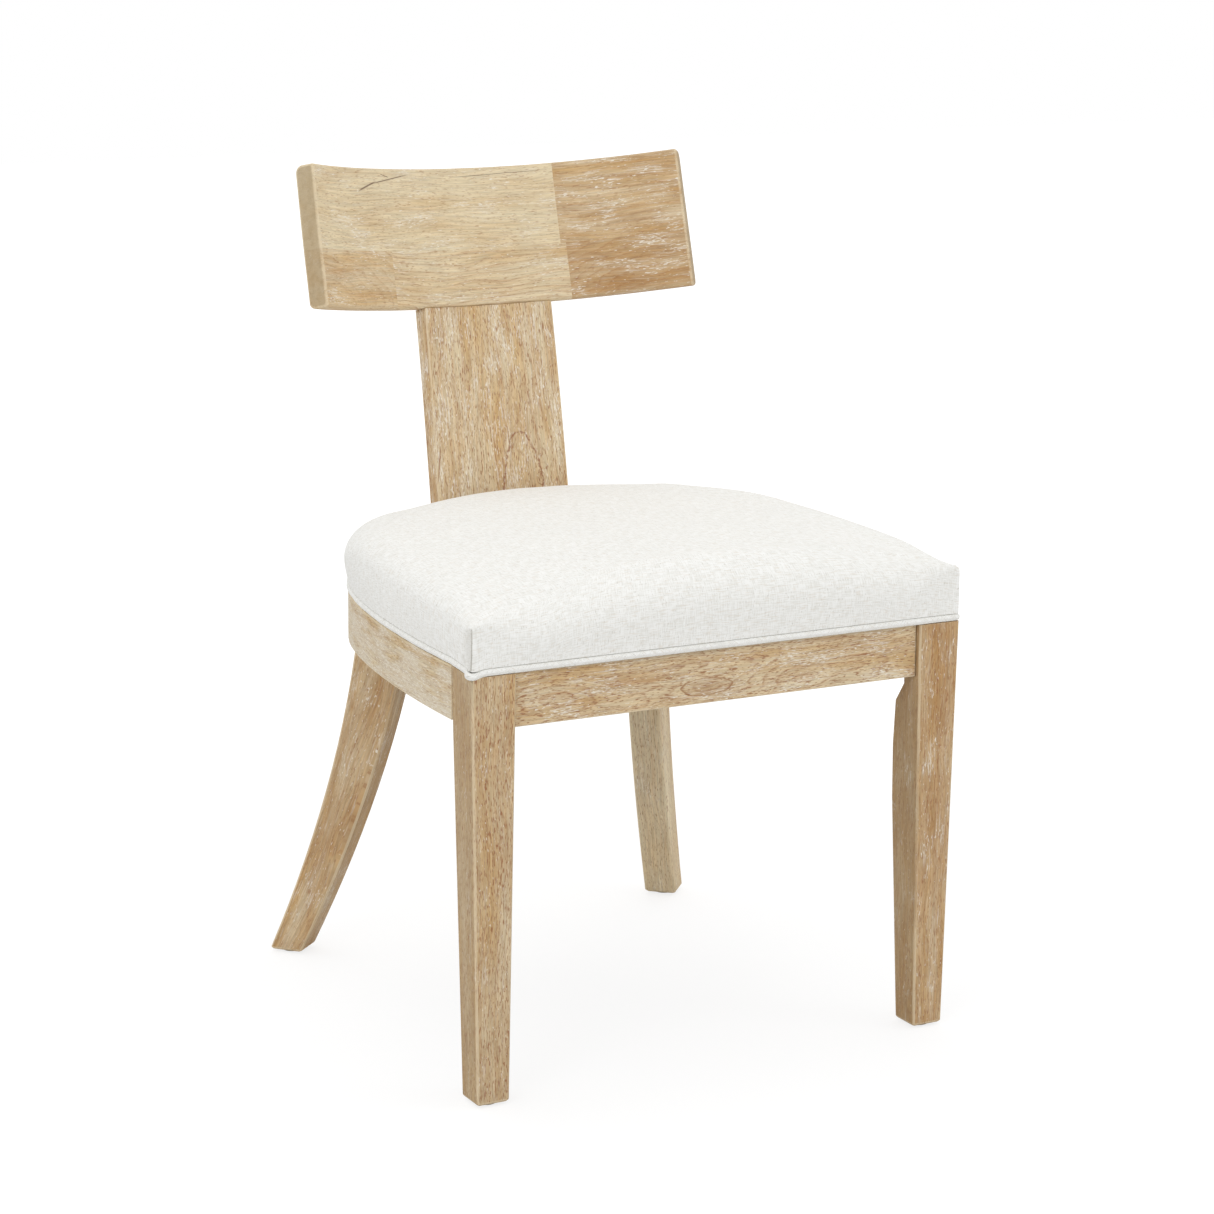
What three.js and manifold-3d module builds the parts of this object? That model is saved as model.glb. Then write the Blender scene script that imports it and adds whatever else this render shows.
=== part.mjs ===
// Klismos dining chair in limewashed oak, with an upholstered seat.
// Millimetres, +Z up. The sitter faces -Y, and left and right are as seen from in front of the chair.
// The right-hand pieces are worked out first, and the left-hand ones are their mirror images.

import * as THREE from "three";
import { mergeVertices } from "three/addons/utils/BufferGeometryUtils.js";
import Module from "manifold-3d";

const wasm = await Module();
wasm.setup();

// Fits
const SEAM = 0.3; // air left between two pieces that meet
const HOLE_PLAY = 0.3; // air round a dowel, tenon, screw or bolt in its hole
const OVERRUN = 4; // how far a cutter passes the face that it cuts
const SAME_POINT = 0.0001; // corners of a solid that are closer than this are one

// Seat frame
const RAIL_TOP = 433; // upper edge of the seat frame above the floor
const RAIL_HEIGHT = 54.5;
const RAIL_THICKNESS = 22;
const BACK_RAIL_THICKNESS = 34; // carries the splat and the seat's back edge
const RAIL_EASE = 1; // eased edges
const FRONT_WIDTH = 554.6; // over the front legs at the rails' upper edge
const FRONT_RAIL_SETBACK = 6; // behind the legs' front faces
const SEAT_DEPTH = 495; // front faces of the legs to the outer face of the back rail
const SIDE_DRAW_IN = 6.6; // each side's step inwards over the depth of a front leg
const SIDE_FRONT_HANDLE = 150; // how long a side runs on straight behind the front leg
const SIDE_BACK_HANDLE = 70; // how long it bends before its straight run to the corner
const SIDE_NARROWING = 56.3; // how far in from the front each side has come where that run begins
const SIDE_END_SETBACK = 85; // how far that is in front of the back rail's outer face
const SIDE_RUN_IN = THREE.MathUtils.degToRad(24); // angle of the run towards the middle
const CORNER_REACH = 35; // length that a back corner's curve takes from each line
const BACK_BOW = 5; // bow of the back rail
const BACK_BOW_HALF_WIDTH = 151.5;

// Front legs
const LEG_FOOT_WIDTH = 35;
const LEG_TOP_WIDTH = 48.6;
const LEG_FOOT_DEPTH = 35;
const LEG_TOP_DEPTH = 57;
const LEG_TAPER = 7.2; // how far the outer face comes in from the top to the floor
const RELIEF_DROP = 12; // the relief behind each leg, for its corner block, slopes out from here
const RELIEF_SLOPE = { back: 15, down: 21 };
const RELIEF_HOLLOW = { back: 4, down: 47 };
const RELIEF_TAIL = 100; // height over which it runs out to nothing
const LEG_EASE = 2.2; // eased arrises of all four legs

// Rear legs
const REAR_SPLAY = THREE.MathUtils.degToRad(42); // outwards from straight back
const REAR_THICKNESS = 36.5;
const REAR_FOOT_DEPTH = 37.6;
const REAR_TOP_DEPTH = 58.9;
const REAR_SWEEP = 131; // travel of the front face from the rail to the floor
const REAR_KNEE_SWEEP = 99.2; // where the tangents at both ends of that curve meet
const REAR_KNEE_HEIGHT = 201.5;
const REAR_SETBACK = 12.2; // inside the outer face of the frame's corner
const REAR_SHIFT = 5.1; // sideways from the middle of that corner

// Splat
const SPLAT_THICKNESS = 19;
const SPLAT_SETBACK = 1.5; // inside the back rail's outer face
const SPLAT_FOOT_WIDTH = 162;
const SPLAT_TOP_WIDTH = 154;
const SPLAT_RISE = 273.5; // rail to crest, at the front face
const SPLAT_RAKE = 55.5; // how far it leans back over that rise
const SPLAT_FOOT_LEAN = THREE.MathUtils.degToRad(9.6);
const SPLAT_HANDLE = 137; // how long it keeps the lean of its foot
const SPLAT_FOOT_RADIUS = 1500; // hollow of its front face at the foot
const SPLAT_EASE = 1.6;
const TENON_THICKNESS = 9;
const TENON_LENGTH = 25;
const TENON_SETBACK = 4.5; // behind the splat's front face
const TENON_ROOT = 8; // how far a tenon's solid starts inside the splat
const CREST_TENON_WIDTH = 100;
const RAIL_TENON_WIDTH = 110;

// Crest rail
const CREST_RADIUS = 359; // hollow of its front face
const CREST_THICKNESS = 22.5;
const CREST_HEIGHT = 152;
const CREST_TOP_CHORD = 438;
const CREST_FOOT_CHORD = 441;
const CREST_LEAN = THREE.MathUtils.degToRad(15.2);
const CREST_FRONT_FOOT_EASE = 4; // eased edges, fuller behind than in front
const CREST_FRONT_TOP_EASE = 2.6;
const CREST_BACK_TOP_EASE = 8.5;
const CREST_BACK_FOOT_EASE = 6;
const CREST_END_EASE = 4.5;
const CREST_END_SHARE = 0.75; // of the ends' easing, taken off the faces as well

// Seat
const BOARD_THICKNESS = 12;
const WELT_RADIUS = 3.6;
const WELT_INSET = 2.6; // centre of the welt inside the seat's outline
const COVER_THICKNESS = 1.2;
const COVER_LIP = 12; // turned under the board
const SEAT_CORNER_RADIUS = 9;
const SEAT_CORNER_LEAST_RADIUS = 1; // of a front corner's curve, however far inside
const SEAT_FRONT_HEIGHT = 67; // frame to the top of the rounded edge in front
const SEAT_BACK_HEIGHT = 83; // and at the back
const SEAT_CORNER_DROP = 16; // how much lower the front corners are
const SEAT_CORNER_SPREAD = 48; // how far along the edges they pull down
const SEAT_CORNER_ROLL = 8; // rounded edge at the front corners
const SEAT_CROWN = 87; // frame to the middle of the crown
const SEAT_CROWN_POWER = 2.4; // flatness of that crown
const SEAT_ROLL = 20; // rounded edge of the front and the sides
const SEAT_BACK_CORNER_ROLL = 50; // and of the back corners
const SEAT_BACK_CORNER_SPREAD = 105;
const SEAT_BULGE = 5; // how far the sides swell
const DUST_COVER_THICKNESS = 0.8;

// Corner blocks and back cleat
const BLOCK_HEIGHT = 30;
const BLOCK_RUN = 56; // along the front rail
const BLOCK_REACH = 51; // along the side rail
const FRONT_SCREW_SHARE = 0.6; // of that run, where the screw into the front rail is
const SIDE_SCREW_SHARE = 0.55; // and of the reach, for the one into the side rail
const CLEAT_DEPTH = 30;
const CLEAT_LEG_CLEARANCE = 21; // from each rear leg, for a spanner on its bolts
const CLEAT_RAIL_SCREW_SHARE = 0.84; // of the way from the middle of the cleat to its end
const CLEAT_SEAT_SCREW_SHARE = 0.47;
const CLEAT_SEAT_SCREW_INSET = 10; // behind the cleat's front face

// Dowels, screws, bolts and glides
const DOWEL_RADIUS = 4;
const DOWEL_LENGTH = 40;
const DOWEL_SPACING = 23;
const CORNER_DOWEL_BITE = 14; // in the curved end of a side rail
const SCREW_RADIUS = 2;
const SCREW_HEAD_RADIUS = 4;
const SCREW_HEAD_HEIGHT = 2.6;
const SCREW_POINT = 4;
const SCREW_BITE = 13; // in the rail behind a block
const SEAT_SCREW_BITE = 9; // in the seat board
const POCKET_DEPTH = 8; // of a block screw's head
const BOLT_RADIUS = 3;
const BOLT_HEAD_RADIUS = 6;
const BOLT_HEAD_HEIGHT = 4;
const BOLT_POCKET = 20; // depth of the head's pocket in a rear leg
const BOLT_BITE = 11; // in the frame behind a rear leg
const BOLT_SIDE_PLACE = 8; // each side of the leg's middle
const BOLT_SPACING = 22; // one above the other
const GLIDE_RADIUS = 11;
const GLIDE_HEIGHT = 2.5;
const GLIDE_EDGE = 1; // rounding of its rim
const GLIDE_PIN_RADIUS = 1.5;
const GLIDE_PIN_LENGTH = 13;

// Numbers of facets
const ROUND_SIDES = 12;
const GLIDE_SIDES = 20;
const FRAME_STEPS = { side: 12, bend: 6, back: 4 };
const SEAT_STEPS = { front: 3, corner: 3, side: 7, bend: 4, back: 2 };
const OUTSIDE_RING_SHARES = {
  wall: [0, 0.25, 0.5, 0.75, 1],
  roll: [0.25, 0.5, 0.75, 1],
  crown: [0.8, 0.6, 0.35, 0.15],
};
const INSIDE_RING_SHARES = { wall: [0, 0.5, 1], roll: [0.5, 1], crown: [0.6, 0.15] };
const FOAM_RING_SHARES = { wall: [0.5, 1], roll: [0.5, 1], crown: [0.6, 0.15] };
const REAR_STEPS = 14;
const SPLAT_STEPS = 10;
const SPLAT_COLUMNS = 6;
const CREST_STEPS = 24;
const EASE_STEPS = 3;
const WELT_SIDES = 8;

// Heights and places that follow from the sizes above
const RAIL_UNDERSIDE = RAIL_TOP - RAIL_HEIGHT;
const RAIL_MIDDLE = RAIL_TOP - RAIL_HEIGHT / 2;
const HALF_FRONT = FRONT_WIDTH / 2;
const FRONT_RAIL_BACK = FRONT_RAIL_SETBACK + RAIL_THICKNESS;
const SIDE_START_X = HALF_FRONT - SIDE_DRAW_IN;
const SIDE_INNER_X = SIDE_START_X - RAIL_THICKNESS;
const SIDE_END_X = HALF_FRONT - SIDE_NARROWING;
const SIDE_END_Y = SEAT_DEPTH - SIDE_END_SETBACK;
const BLOCK_BOTTOM = RAIL_TOP - BLOCK_HEIGHT;
const BLOCK_MIDDLE = RAIL_TOP - BLOCK_HEIGHT / 2;
const LIP_BOTTOM = RAIL_TOP + SEAM;
const LIP_TOP = LIP_BOTTOM + COVER_THICKNESS;
const BOARD_BOTTOM = LIP_TOP + SEAM;
const BOARD_TOP = BOARD_BOTTOM + BOARD_THICKNESS;
const GROOVE_INSET = WELT_INSET + WELT_RADIUS + SEAM;
const GROOVE_TOP = LIP_BOTTOM + 2 * WELT_RADIUS + SEAM;
const BOARD_INSET = GROOVE_INSET + COVER_THICKNESS + SEAM;
const LIP_INSET = BOARD_INSET + COVER_LIP;
const SPLAT_FRONT_Y = SEAT_DEPTH - SPLAT_SETBACK - SPLAT_THICKNESS;
const SPLAT_EDGE_FORWARD = (SPLAT_FOOT_WIDTH / 2) ** 2 / (2 * SPLAT_FOOT_RADIUS);
const SEAT_BACK_Y = SPLAT_FRONT_Y - SPLAT_EDGE_FORWARD - (WELT_RADIUS - WELT_INSET) - SEAM;
const CREST_FOOT_Y = SPLAT_FRONT_Y + SPLAT_RAKE;
const CREST_FOOT_Z = RAIL_TOP + SPLAT_RISE;

// Finishes
const FINISHES = {
  oak: new THREE.MeshStandardMaterial({ color: 0xc4a77c, roughness: 0.62, metalness: 0 }),
  linen: new THREE.MeshStandardMaterial({ color: 0xeeece6, roughness: 0.95, metalness: 0 }),
  foam: new THREE.MeshStandardMaterial({ color: 0xe9dfb8, roughness: 0.9, metalness: 0 }),
  plywood: new THREE.MeshStandardMaterial({ color: 0xcdb58c, roughness: 0.8, metalness: 0 }),
  cambric: new THREE.MeshStandardMaterial({ color: 0x2b2b2c, roughness: 0.95, metalness: 0 }),
  beech: new THREE.MeshStandardMaterial({ color: 0xd2b48c, roughness: 0.7, metalness: 0 }),
  steel: new THREE.MeshStandardMaterial({ color: 0xa9a9a6, roughness: 0.4, metalness: 1 }),
  nylon: new THREE.MeshStandardMaterial({ color: 0xdad6cc, roughness: 0.55, metalness: 0 }),
};

// Solids

// A closed geometry as a solid that can be cut and joined.
function solidOf(geometry) {
  const bare = geometry.clone();
  bare.deleteAttribute("normal");
  bare.deleteAttribute("uv");
  const merged = mergeVertices(bare, SAME_POINT);
  const vertProperties = new Float32Array(merged.attributes.position.array);
  const triVerts = new Uint32Array(merged.index.array);
  return new wasm.Manifold(new wasm.Mesh({ numProp: 3, vertProperties, triVerts }));
}

function geometryOf(solid) {
  const mesh = solid.getMesh();
  const geometry = new THREE.BufferGeometry();
  geometry.setAttribute("position", new THREE.BufferAttribute(mesh.vertProperties, 3));
  geometry.setIndex(new THREE.BufferAttribute(mesh.triVerts, 1));
  return geometry;
}

function cut(geometry, cutters) {
  const whole = solidOf(geometry);
  return geometryOf(cutters.reduce((solid, cutter) => solid.subtract(solidOf(cutter)), whole));
}

function join(geometry, others) {
  const whole = solidOf(geometry);
  return geometryOf(others.reduce((solid, other) => solid.add(solidOf(other)), whole));
}

// Turns a closed surface so that its faces point outwards.
function facingOut(positions, index) {
  const [a, b, c] = [new THREE.Vector3(), new THREE.Vector3(), new THREE.Vector3()];
  let volume = 0;
  for (let i = 0; i < index.length; i += 3) {
    [a, b, c].forEach((corner, k) => corner.fromArray(positions, 3 * index[i + k]));
    volume += a.dot(b.cross(c));
  }
  if (volume < 0) {
    index.reverse();
  }
  const geometry = new THREE.BufferGeometry();
  geometry.setAttribute("position", new THREE.Float32BufferAttribute(positions, 3));
  geometry.setIndex(index);
  return geometry;
}

function mirrored(geometry) {
  const flat = geometry.clone().scale(-1, 1, 1);
  return facingOut(Array.from(flat.attributes.position.array), Array.from(flat.index.array));
}

// A lid of triangles over one ring, in the plane that fits it best.
function lid(ring) {
  const normal = new THREE.Vector3();
  ring.forEach((point, i) => {
    normal.add(point.clone().cross(ring[(i + 1) % ring.length]));
  });
  normal.normalize();
  const across = ring[0].clone().sub(ring[Math.floor(ring.length / 2)]).normalize();
  const up = normal.clone().cross(across);
  const flat = ring.map((point) => new THREE.Vector2(point.dot(across), point.dot(up)));
  return THREE.ShapeUtils.triangulateShape(flat, []).map(([i, j, k]) => {
    const [p, q, r] = [flat[i], flat[j], flat[k]];
    const turn = (q.x - p.x) * (r.y - p.y) - (q.y - p.y) * (r.x - p.x);
    return turn > 0 ? [i, j, k] : [i, k, j];
  });
}

// A skin over rings of equally many points: lidded at both ends, or joined end to end.
// Each of its four-sided facets is split along its shorter diagonal.
function skin(rings, endless = false) {
  const count = rings[0].length;
  const positions = rings.flat().flatMap((point) => point.toArray());
  const index = [];
  const bands = endless ? rings.length : rings.length - 1;
  for (let i = 0; i < bands; i += 1) {
    const [low, high] = [i * count, ((i + 1) % rings.length) * count];
    for (let j = 0; j < count; j += 1) {
      const next = (j + 1) % count;
      const [here, there] = [rings[i], rings[(i + 1) % rings.length]];
      if (here[j].distanceTo(there[next]) < here[next].distanceTo(there[j])) {
        index.push(low + j, low + next, high + next, low + j, high + next, high + j);
      } else {
        index.push(low + j, low + next, high + j, low + next, high + next, high + j);
      }
    }
  }
  if (!endless) {
    const top = (rings.length - 1) * count;
    lid(rings[0]).forEach(([i, j, k]) => index.push(i, k, j));
    lid(rings.at(-1)).forEach(([i, j, k]) => index.push(top + i, top + j, top + k));
  }
  return facingOut(positions, index);
}

// A flat outline of plan points carried up from one height to another, with eased edges.
function plate(points, bottom, top, ease = 0) {
  const shape = new THREE.Shape(points);
  const geometry = new THREE.ExtrudeGeometry(shape, {
    depth: top - bottom - 2 * ease,
    steps: 1,
    bevelEnabled: ease > 0,
    bevelThickness: ease,
    bevelSize: ease,
    bevelOffset: -ease,
    bevelSegments: 1,
  });
  return geometry.translate(0, 0, bottom + ease);
}

// A box between two corners.
function block(low, high) {
  const size = high.clone().sub(low);
  const middle = high.clone().add(low).multiplyScalar(0.5);
  return new THREE.BoxGeometry(size.x, size.y, size.z).translate(middle.x, middle.y, middle.z);
}

// A round piece from a profile of [radius, height] pairs, its axis laid along a direction.
function turned(profile, start, direction, sides = ROUND_SIDES) {
  const points = profile.map(([radius, height]) => new THREE.Vector2(radius, height));
  const geometry = new THREE.LatheGeometry(points, sides);
  const turn = new THREE.Quaternion().setFromUnitVectors(
    new THREE.Vector3(0, 1, 0),
    direction.clone().normalize(),
  );
  return geometry.applyQuaternion(turn).translate(start.x, start.y, start.z);
}

function peg(radius, start, direction, length) {
  return turned([[0, 0], [radius, 0], [radius, length], [0, length]], start, direction);
}

// A screw or bolt: flat-topped head, shank and point. The start is the seat of its head.
function fastener(radius, headRadius, headHeight, point, start, direction, length) {
  const profile = [
    [0, -headHeight],
    [headRadius, -headHeight],
    [headRadius, 0],
    [radius, 0],
    [radius, length - point],
    [0, length],
  ];
  return turned(profile, start, direction);
}

// The hole round a fastener's shank, and the pocket for its head.
function shankHole(radius, { start, direction, length }) {
  return peg(radius + HOLE_PLAY, start, direction, length + HOLE_PLAY);
}

function headPocket(headRadius, pocket, { start, direction }) {
  const mouth = start.clone().addScaledVector(direction, -pocket);
  return peg(headRadius + HOLE_PLAY, mouth, direction, pocket);
}

// Plan curves

const planPoint = (x, y) => new THREE.Vector2(x, y);

// A plan point at a height.
const lifted = (plan, z) => new THREE.Vector3(plan.x, plan.y, z);

// Equal steps from nothing to one.
const shares = (steps) => Array.from({ length: steps + 1 }, (_, i) => i / steps);

// The right half of the seat's outline, from behind the front leg to the middle of the back.
function halfOutline(depth, steps) {
  const inward = planPoint(-Math.sin(SIDE_RUN_IN), Math.cos(SIDE_RUN_IN));
  const backTangent = Math.atan((2 * BACK_BOW) / BACK_BOW_HALF_WIDTH);
  const start = planPoint(SIDE_START_X, LEG_TOP_DEPTH);
  const sideEnd = planPoint(SIDE_END_X, SIDE_END_Y);
  // The corner is where the side's straight run meets the tangent at the end of the back's bow.
  const bowEndY = depth - BACK_BOW;
  const slope = Math.tan(backTangent);
  const travel =
    (bowEndY - (sideEnd.x - BACK_BOW_HALF_WIDTH) * slope - sideEnd.y) / (inward.y + inward.x * slope);
  const corner = sideEnd.clone().addScaledVector(inward, travel);
  const backward = planPoint(-Math.cos(backTangent), Math.sin(backTangent));
  const cornerStart = corner.clone().addScaledVector(inward, -CORNER_REACH);
  const cornerEnd = corner.clone().addScaledVector(backward, CORNER_REACH);
  const side = new THREE.CubicBezierCurve(
    start,
    start.clone().add(planPoint(0, SIDE_FRONT_HANDLE)),
    sideEnd.clone().addScaledVector(inward, -SIDE_BACK_HANDLE),
    sideEnd,
  );
  const bend = new THREE.QuadraticBezierCurve(cornerStart, corner, cornerEnd);
  const middle = planPoint(0, depth);
  const back = new THREE.QuadraticBezierCurve(
    cornerEnd,
    planPoint(cornerEnd.x - (middle.y - cornerEnd.y) / slope, depth),
    middle,
  );
  return {
    side: side.getPoints(steps.side),
    bend: bend.getPoints(steps.bend),
    back: back.getPoints(steps.back),
    bendMiddle: bend.getPoint(0.5),
  };
}

const flipped = (points) => points.map((point) => planPoint(-point.x, point.y)).reverse();

// Unit normals to the left of the direction of travel. Those at the ends can be given.
function normalsOf(points, firstNormal, lastNormal) {
  const last = points.length - 1;
  return points.map((point, i) => {
    if (i === 0 && firstNormal) {
      return firstNormal;
    }
    if (i === last && lastNormal) {
      return lastNormal;
    }
    const into = point.clone().sub(points[Math.max(i - 1, 0)]).normalize();
    const out = points[Math.min(i + 1, last)].clone().sub(point).normalize();
    const along = into.add(out);
    return planPoint(-along.y, along.x).normalize();
  });
}

// How much longer an offset is at a corner than along a straight run.
function mitresOf(points, normals) {
  return points.map((point, i) => {
    const [from, to] = i > 0 ? [points[i - 1], point] : [point, points[1]];
    const edge = to.clone().sub(from).normalize();
    return 1 / Math.abs(planPoint(-edge.y, edge.x).dot(normals[i]));
  });
}

// The plan of a piece that lies between two offsets of a line of points.
function bandBetween(points, normals, outer, inner) {
  const outside = points.map((point, i) => point.clone().addScaledVector(normals[i], outer));
  const inside = points.map((point, i) => point.clone().addScaledVector(normals[i], inner));
  return [...outside, ...inside.reverse()];
}

const frame = halfOutline(SEAT_DEPTH, FRAME_STEPS);
const FRAME_SIDE = [...frame.side, ...frame.bend];
const BACK_JOINT = frame.back[0];
const BACK_JOINT_TANGENT = frame.back[1].clone().sub(frame.back[0]).normalize();
const BACK_JOINT_NORMAL = planPoint(-BACK_JOINT_TANGENT.y, BACK_JOINT_TANGENT.x);
const SIDE_NORMAL = planPoint(-1, 0);
const FRAME_SIDE_NORMALS = normalsOf(FRAME_SIDE, SIDE_NORMAL, BACK_JOINT_NORMAL);

// How far from the middle the side rail's inner face is, at a distance behind the front.
function sideInnerX(y) {
  const inner = FRAME_SIDE.map((point, i) =>
    point.clone().addScaledVector(FRAME_SIDE_NORMALS[i], RAIL_THICKNESS),
  );
  const next = inner.findIndex((point) => point.y > y);
  const [low, high] = [inner[next - 1], inner[next]];
  return THREE.MathUtils.mapLinear(y, low.y, high.y, low.x, high.x);
}

// Joints that the frame's pieces share

const dowelHeights = [RAIL_MIDDLE + DOWEL_SPACING / 2, RAIL_MIDDLE - DOWEL_SPACING / 2];

// Where the right-hand dowels start, which way they run and how long they are.
const dowelPlaces = {
  front: {
    start: (z) =>
      new THREE.Vector3(legInnerX(z) - DOWEL_LENGTH / 2, FRONT_RAIL_SETBACK + RAIL_THICKNESS / 2, z),
    direction: new THREE.Vector3(1, 0, 0),
    length: DOWEL_LENGTH,
  },
  side: {
    start: (z) =>
      new THREE.Vector3(SIDE_START_X - RAIL_THICKNESS / 2, LEG_TOP_DEPTH - DOWEL_LENGTH / 2, z),
    direction: new THREE.Vector3(0, 1, 0),
    length: DOWEL_LENGTH,
  },
  back: {
    start: (z) => {
      const middle = BACK_JOINT.clone().addScaledVector(BACK_JOINT_NORMAL, RAIL_THICKNESS / 2);
      middle.addScaledVector(BACK_JOINT_TANGENT, -CORNER_DOWEL_BITE);
      return new THREE.Vector3(middle.x, middle.y, z);
    },
    direction: new THREE.Vector3(BACK_JOINT_TANGENT.x, BACK_JOINT_TANGENT.y, 0),
    length: CORNER_DOWEL_BITE + DOWEL_LENGTH / 2,
  },
};

function dowel(place, z) {
  return peg(DOWEL_RADIUS, place.start(z), place.direction, place.length);
}

function dowelHoles(place) {
  return dowelHeights.map((z) => {
    const start = place.start(z).addScaledVector(place.direction, -HOLE_PLAY);
    return peg(DOWEL_RADIUS + HOLE_PLAY, start, place.direction, place.length + 2 * HOLE_PLAY);
  });
}

// Front legs

const legOuterX = (z) => HALF_FRONT - LEG_TAPER * (1 - z / RAIL_TOP);
const legInnerX = (z) =>
  legOuterX(z) - THREE.MathUtils.lerp(LEG_FOOT_WIDTH, LEG_TOP_WIDTH, z / RAIL_TOP);

// Each corner of a section becomes two points, one along each edge.
function easedCorners(corners, ease) {
  return corners.flatMap((corner, i) => {
    const before = corners[(i + corners.length - 1) % corners.length];
    const after = corners[(i + 1) % corners.length];
    const back = before.clone().sub(corner).setLength(ease);
    const on = after.clone().sub(corner).setLength(ease);
    return [corner.clone().add(back), corner.clone().add(on)];
  });
}

function frontLegSection(z, inset) {
  const share = Math.min(z / RAIL_UNDERSIDE, 1);
  const depth = THREE.MathUtils.lerp(LEG_FOOT_DEPTH, LEG_TOP_DEPTH, share) - inset;
  const [inner, outer] = [legInnerX(z) + inset, legOuterX(z) - inset];
  const corners = [
    new THREE.Vector3(inner, inset, z),
    new THREE.Vector3(outer, inset, z),
    new THREE.Vector3(outer - SIDE_DRAW_IN * share, depth, z),
    new THREE.Vector3(inner, depth, z),
  ];
  return easedCorners(corners, LEG_EASE);
}

// The relief that lets the corner block in behind the leg, in side view, and runs out below it.
function legRelief() {
  const back = LEG_TOP_DEPTH + OVERRUN;
  const slopeTop = planPoint(FRONT_RAIL_BACK, RAIL_UNDERSIDE - RELIEF_DROP);
  const slopeFoot = planPoint(slopeTop.x + RELIEF_SLOPE.back, slopeTop.y - RELIEF_SLOPE.down);
  const hollowFoot = planPoint(slopeFoot.x + RELIEF_HOLLOW.back, slopeFoot.y - RELIEF_HOLLOW.down);
  const tail = hollowFoot.y - RELIEF_TAIL;
  const shape = new THREE.Shape([
    slopeTop,
    slopeFoot,
    hollowFoot,
    planPoint(hollowFoot.x, tail),
    planPoint(back, tail),
    planPoint(back, RAIL_TOP + OVERRUN),
    planPoint(FRONT_RAIL_BACK, RAIL_TOP + OVERRUN),
  ]);
  const inner = legInnerX(RAIL_TOP) - OVERRUN;
  const geometry = new THREE.ExtrudeGeometry(shape, {
    depth: SIDE_INNER_X - inner,
    steps: 1,
    bevelEnabled: false,
  });
  const upright = new THREE.Matrix4().makeBasis(
    new THREE.Vector3(0, 1, 0),
    new THREE.Vector3(0, 0, 1),
    new THREE.Vector3(1, 0, 0),
  );
  return geometry.applyMatrix4(upright).translate(inner, 0, 0);
}

function glideHole(centre) {
  const start = new THREE.Vector3(centre.x, centre.y, GLIDE_HEIGHT - OVERRUN);
  const length = OVERRUN + GLIDE_PIN_LENGTH + HOLE_PLAY;
  return peg(GLIDE_PIN_RADIUS + HOLE_PLAY, start, new THREE.Vector3(0, 0, 1), length);
}

const FRONT_GLIDE_CENTRE = planPoint(
  (legInnerX(GLIDE_HEIGHT) + legOuterX(GLIDE_HEIGHT)) / 2,
  LEG_FOOT_DEPTH / 2,
);

function frontLeg() {
  const foot = GLIDE_HEIGHT + SEAM;
  const heights = [foot + LEG_EASE, RAIL_UNDERSIDE, RAIL_TOP];
  const rings = [frontLegSection(foot, LEG_EASE), ...heights.map((z) => frontLegSection(z, 0))];
  const cutters = [
    legRelief(),
    glideHole(FRONT_GLIDE_CENTRE),
    ...dowelHoles(dowelPlaces.front),
    ...dowelHoles(dowelPlaces.side),
  ];
  return cut(skin(rings), cutters);
}

// Rear legs

const SPLAY_OUT = planPoint(Math.sin(REAR_SPLAY), Math.cos(REAR_SPLAY));
const SPLAY_SIDE = planPoint(Math.cos(REAR_SPLAY), -Math.sin(REAR_SPLAY));
const REAR_TOP_BACK = frame.bendMiddle
  .clone()
  .addScaledVector(SPLAY_OUT, -REAR_SETBACK)
  .addScaledVector(SPLAY_SIDE, REAR_SHIFT);

// A point of the leg: out along the splay from its back face at the rail, and to its side.
function rearPoint(out, side, z) {
  const plan = REAR_TOP_BACK.clone();
  plan.addScaledVector(SPLAY_OUT, out).addScaledVector(SPLAY_SIDE, side);
  return new THREE.Vector3(plan.x, plan.y, z);
}

// The front face in side view, from the rail down to the floor.
const rearFront = new THREE.QuadraticBezierCurve(
  planPoint(-REAR_TOP_DEPTH, RAIL_UNDERSIDE),
  planPoint(REAR_SWEEP - REAR_KNEE_SWEEP - REAR_TOP_DEPTH, REAR_KNEE_HEIGHT),
  planPoint(REAR_SWEEP - REAR_TOP_DEPTH, 0),
);

// How far out the front face is at a height, also above the rail's underside, where it is straight.
function rearFrontOut(z) {
  if (z >= RAIL_UNDERSIDE) {
    const rate = (REAR_SWEEP - REAR_KNEE_SWEEP) / (RAIL_UNDERSIDE - REAR_KNEE_HEIGHT);
    return -REAR_TOP_DEPTH - rate * (z - RAIL_UNDERSIDE);
  }
  // The height along the curve is a quadratic in its share, solved here.
  const [a, b, c] = [
    RAIL_UNDERSIDE - 2 * REAR_KNEE_HEIGHT,
    2 * (REAR_KNEE_HEIGHT - RAIL_UNDERSIDE),
    RAIL_UNDERSIDE - z,
  ];
  const share = (2 * c) / (-b + Math.sqrt(b * b - 4 * a * c));
  return rearFront.getPoint(share).x;
}

const rearDepth = (z) =>
  THREE.MathUtils.mapLinear(z, 0, RAIL_UNDERSIDE, REAR_FOOT_DEPTH, REAR_TOP_DEPTH);

function rearLegSection(z, inset) {
  const front = rearFrontOut(z) + inset;
  const back = rearFrontOut(z) + rearDepth(z) - inset;
  const half = REAR_THICKNESS / 2 - inset;
  const corners = [
    rearPoint(front, -half, z),
    rearPoint(front, half, z),
    rearPoint(back, half, z),
    rearPoint(back, -half, z),
  ];
  return easedCorners(corners, LEG_EASE);
}

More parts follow.
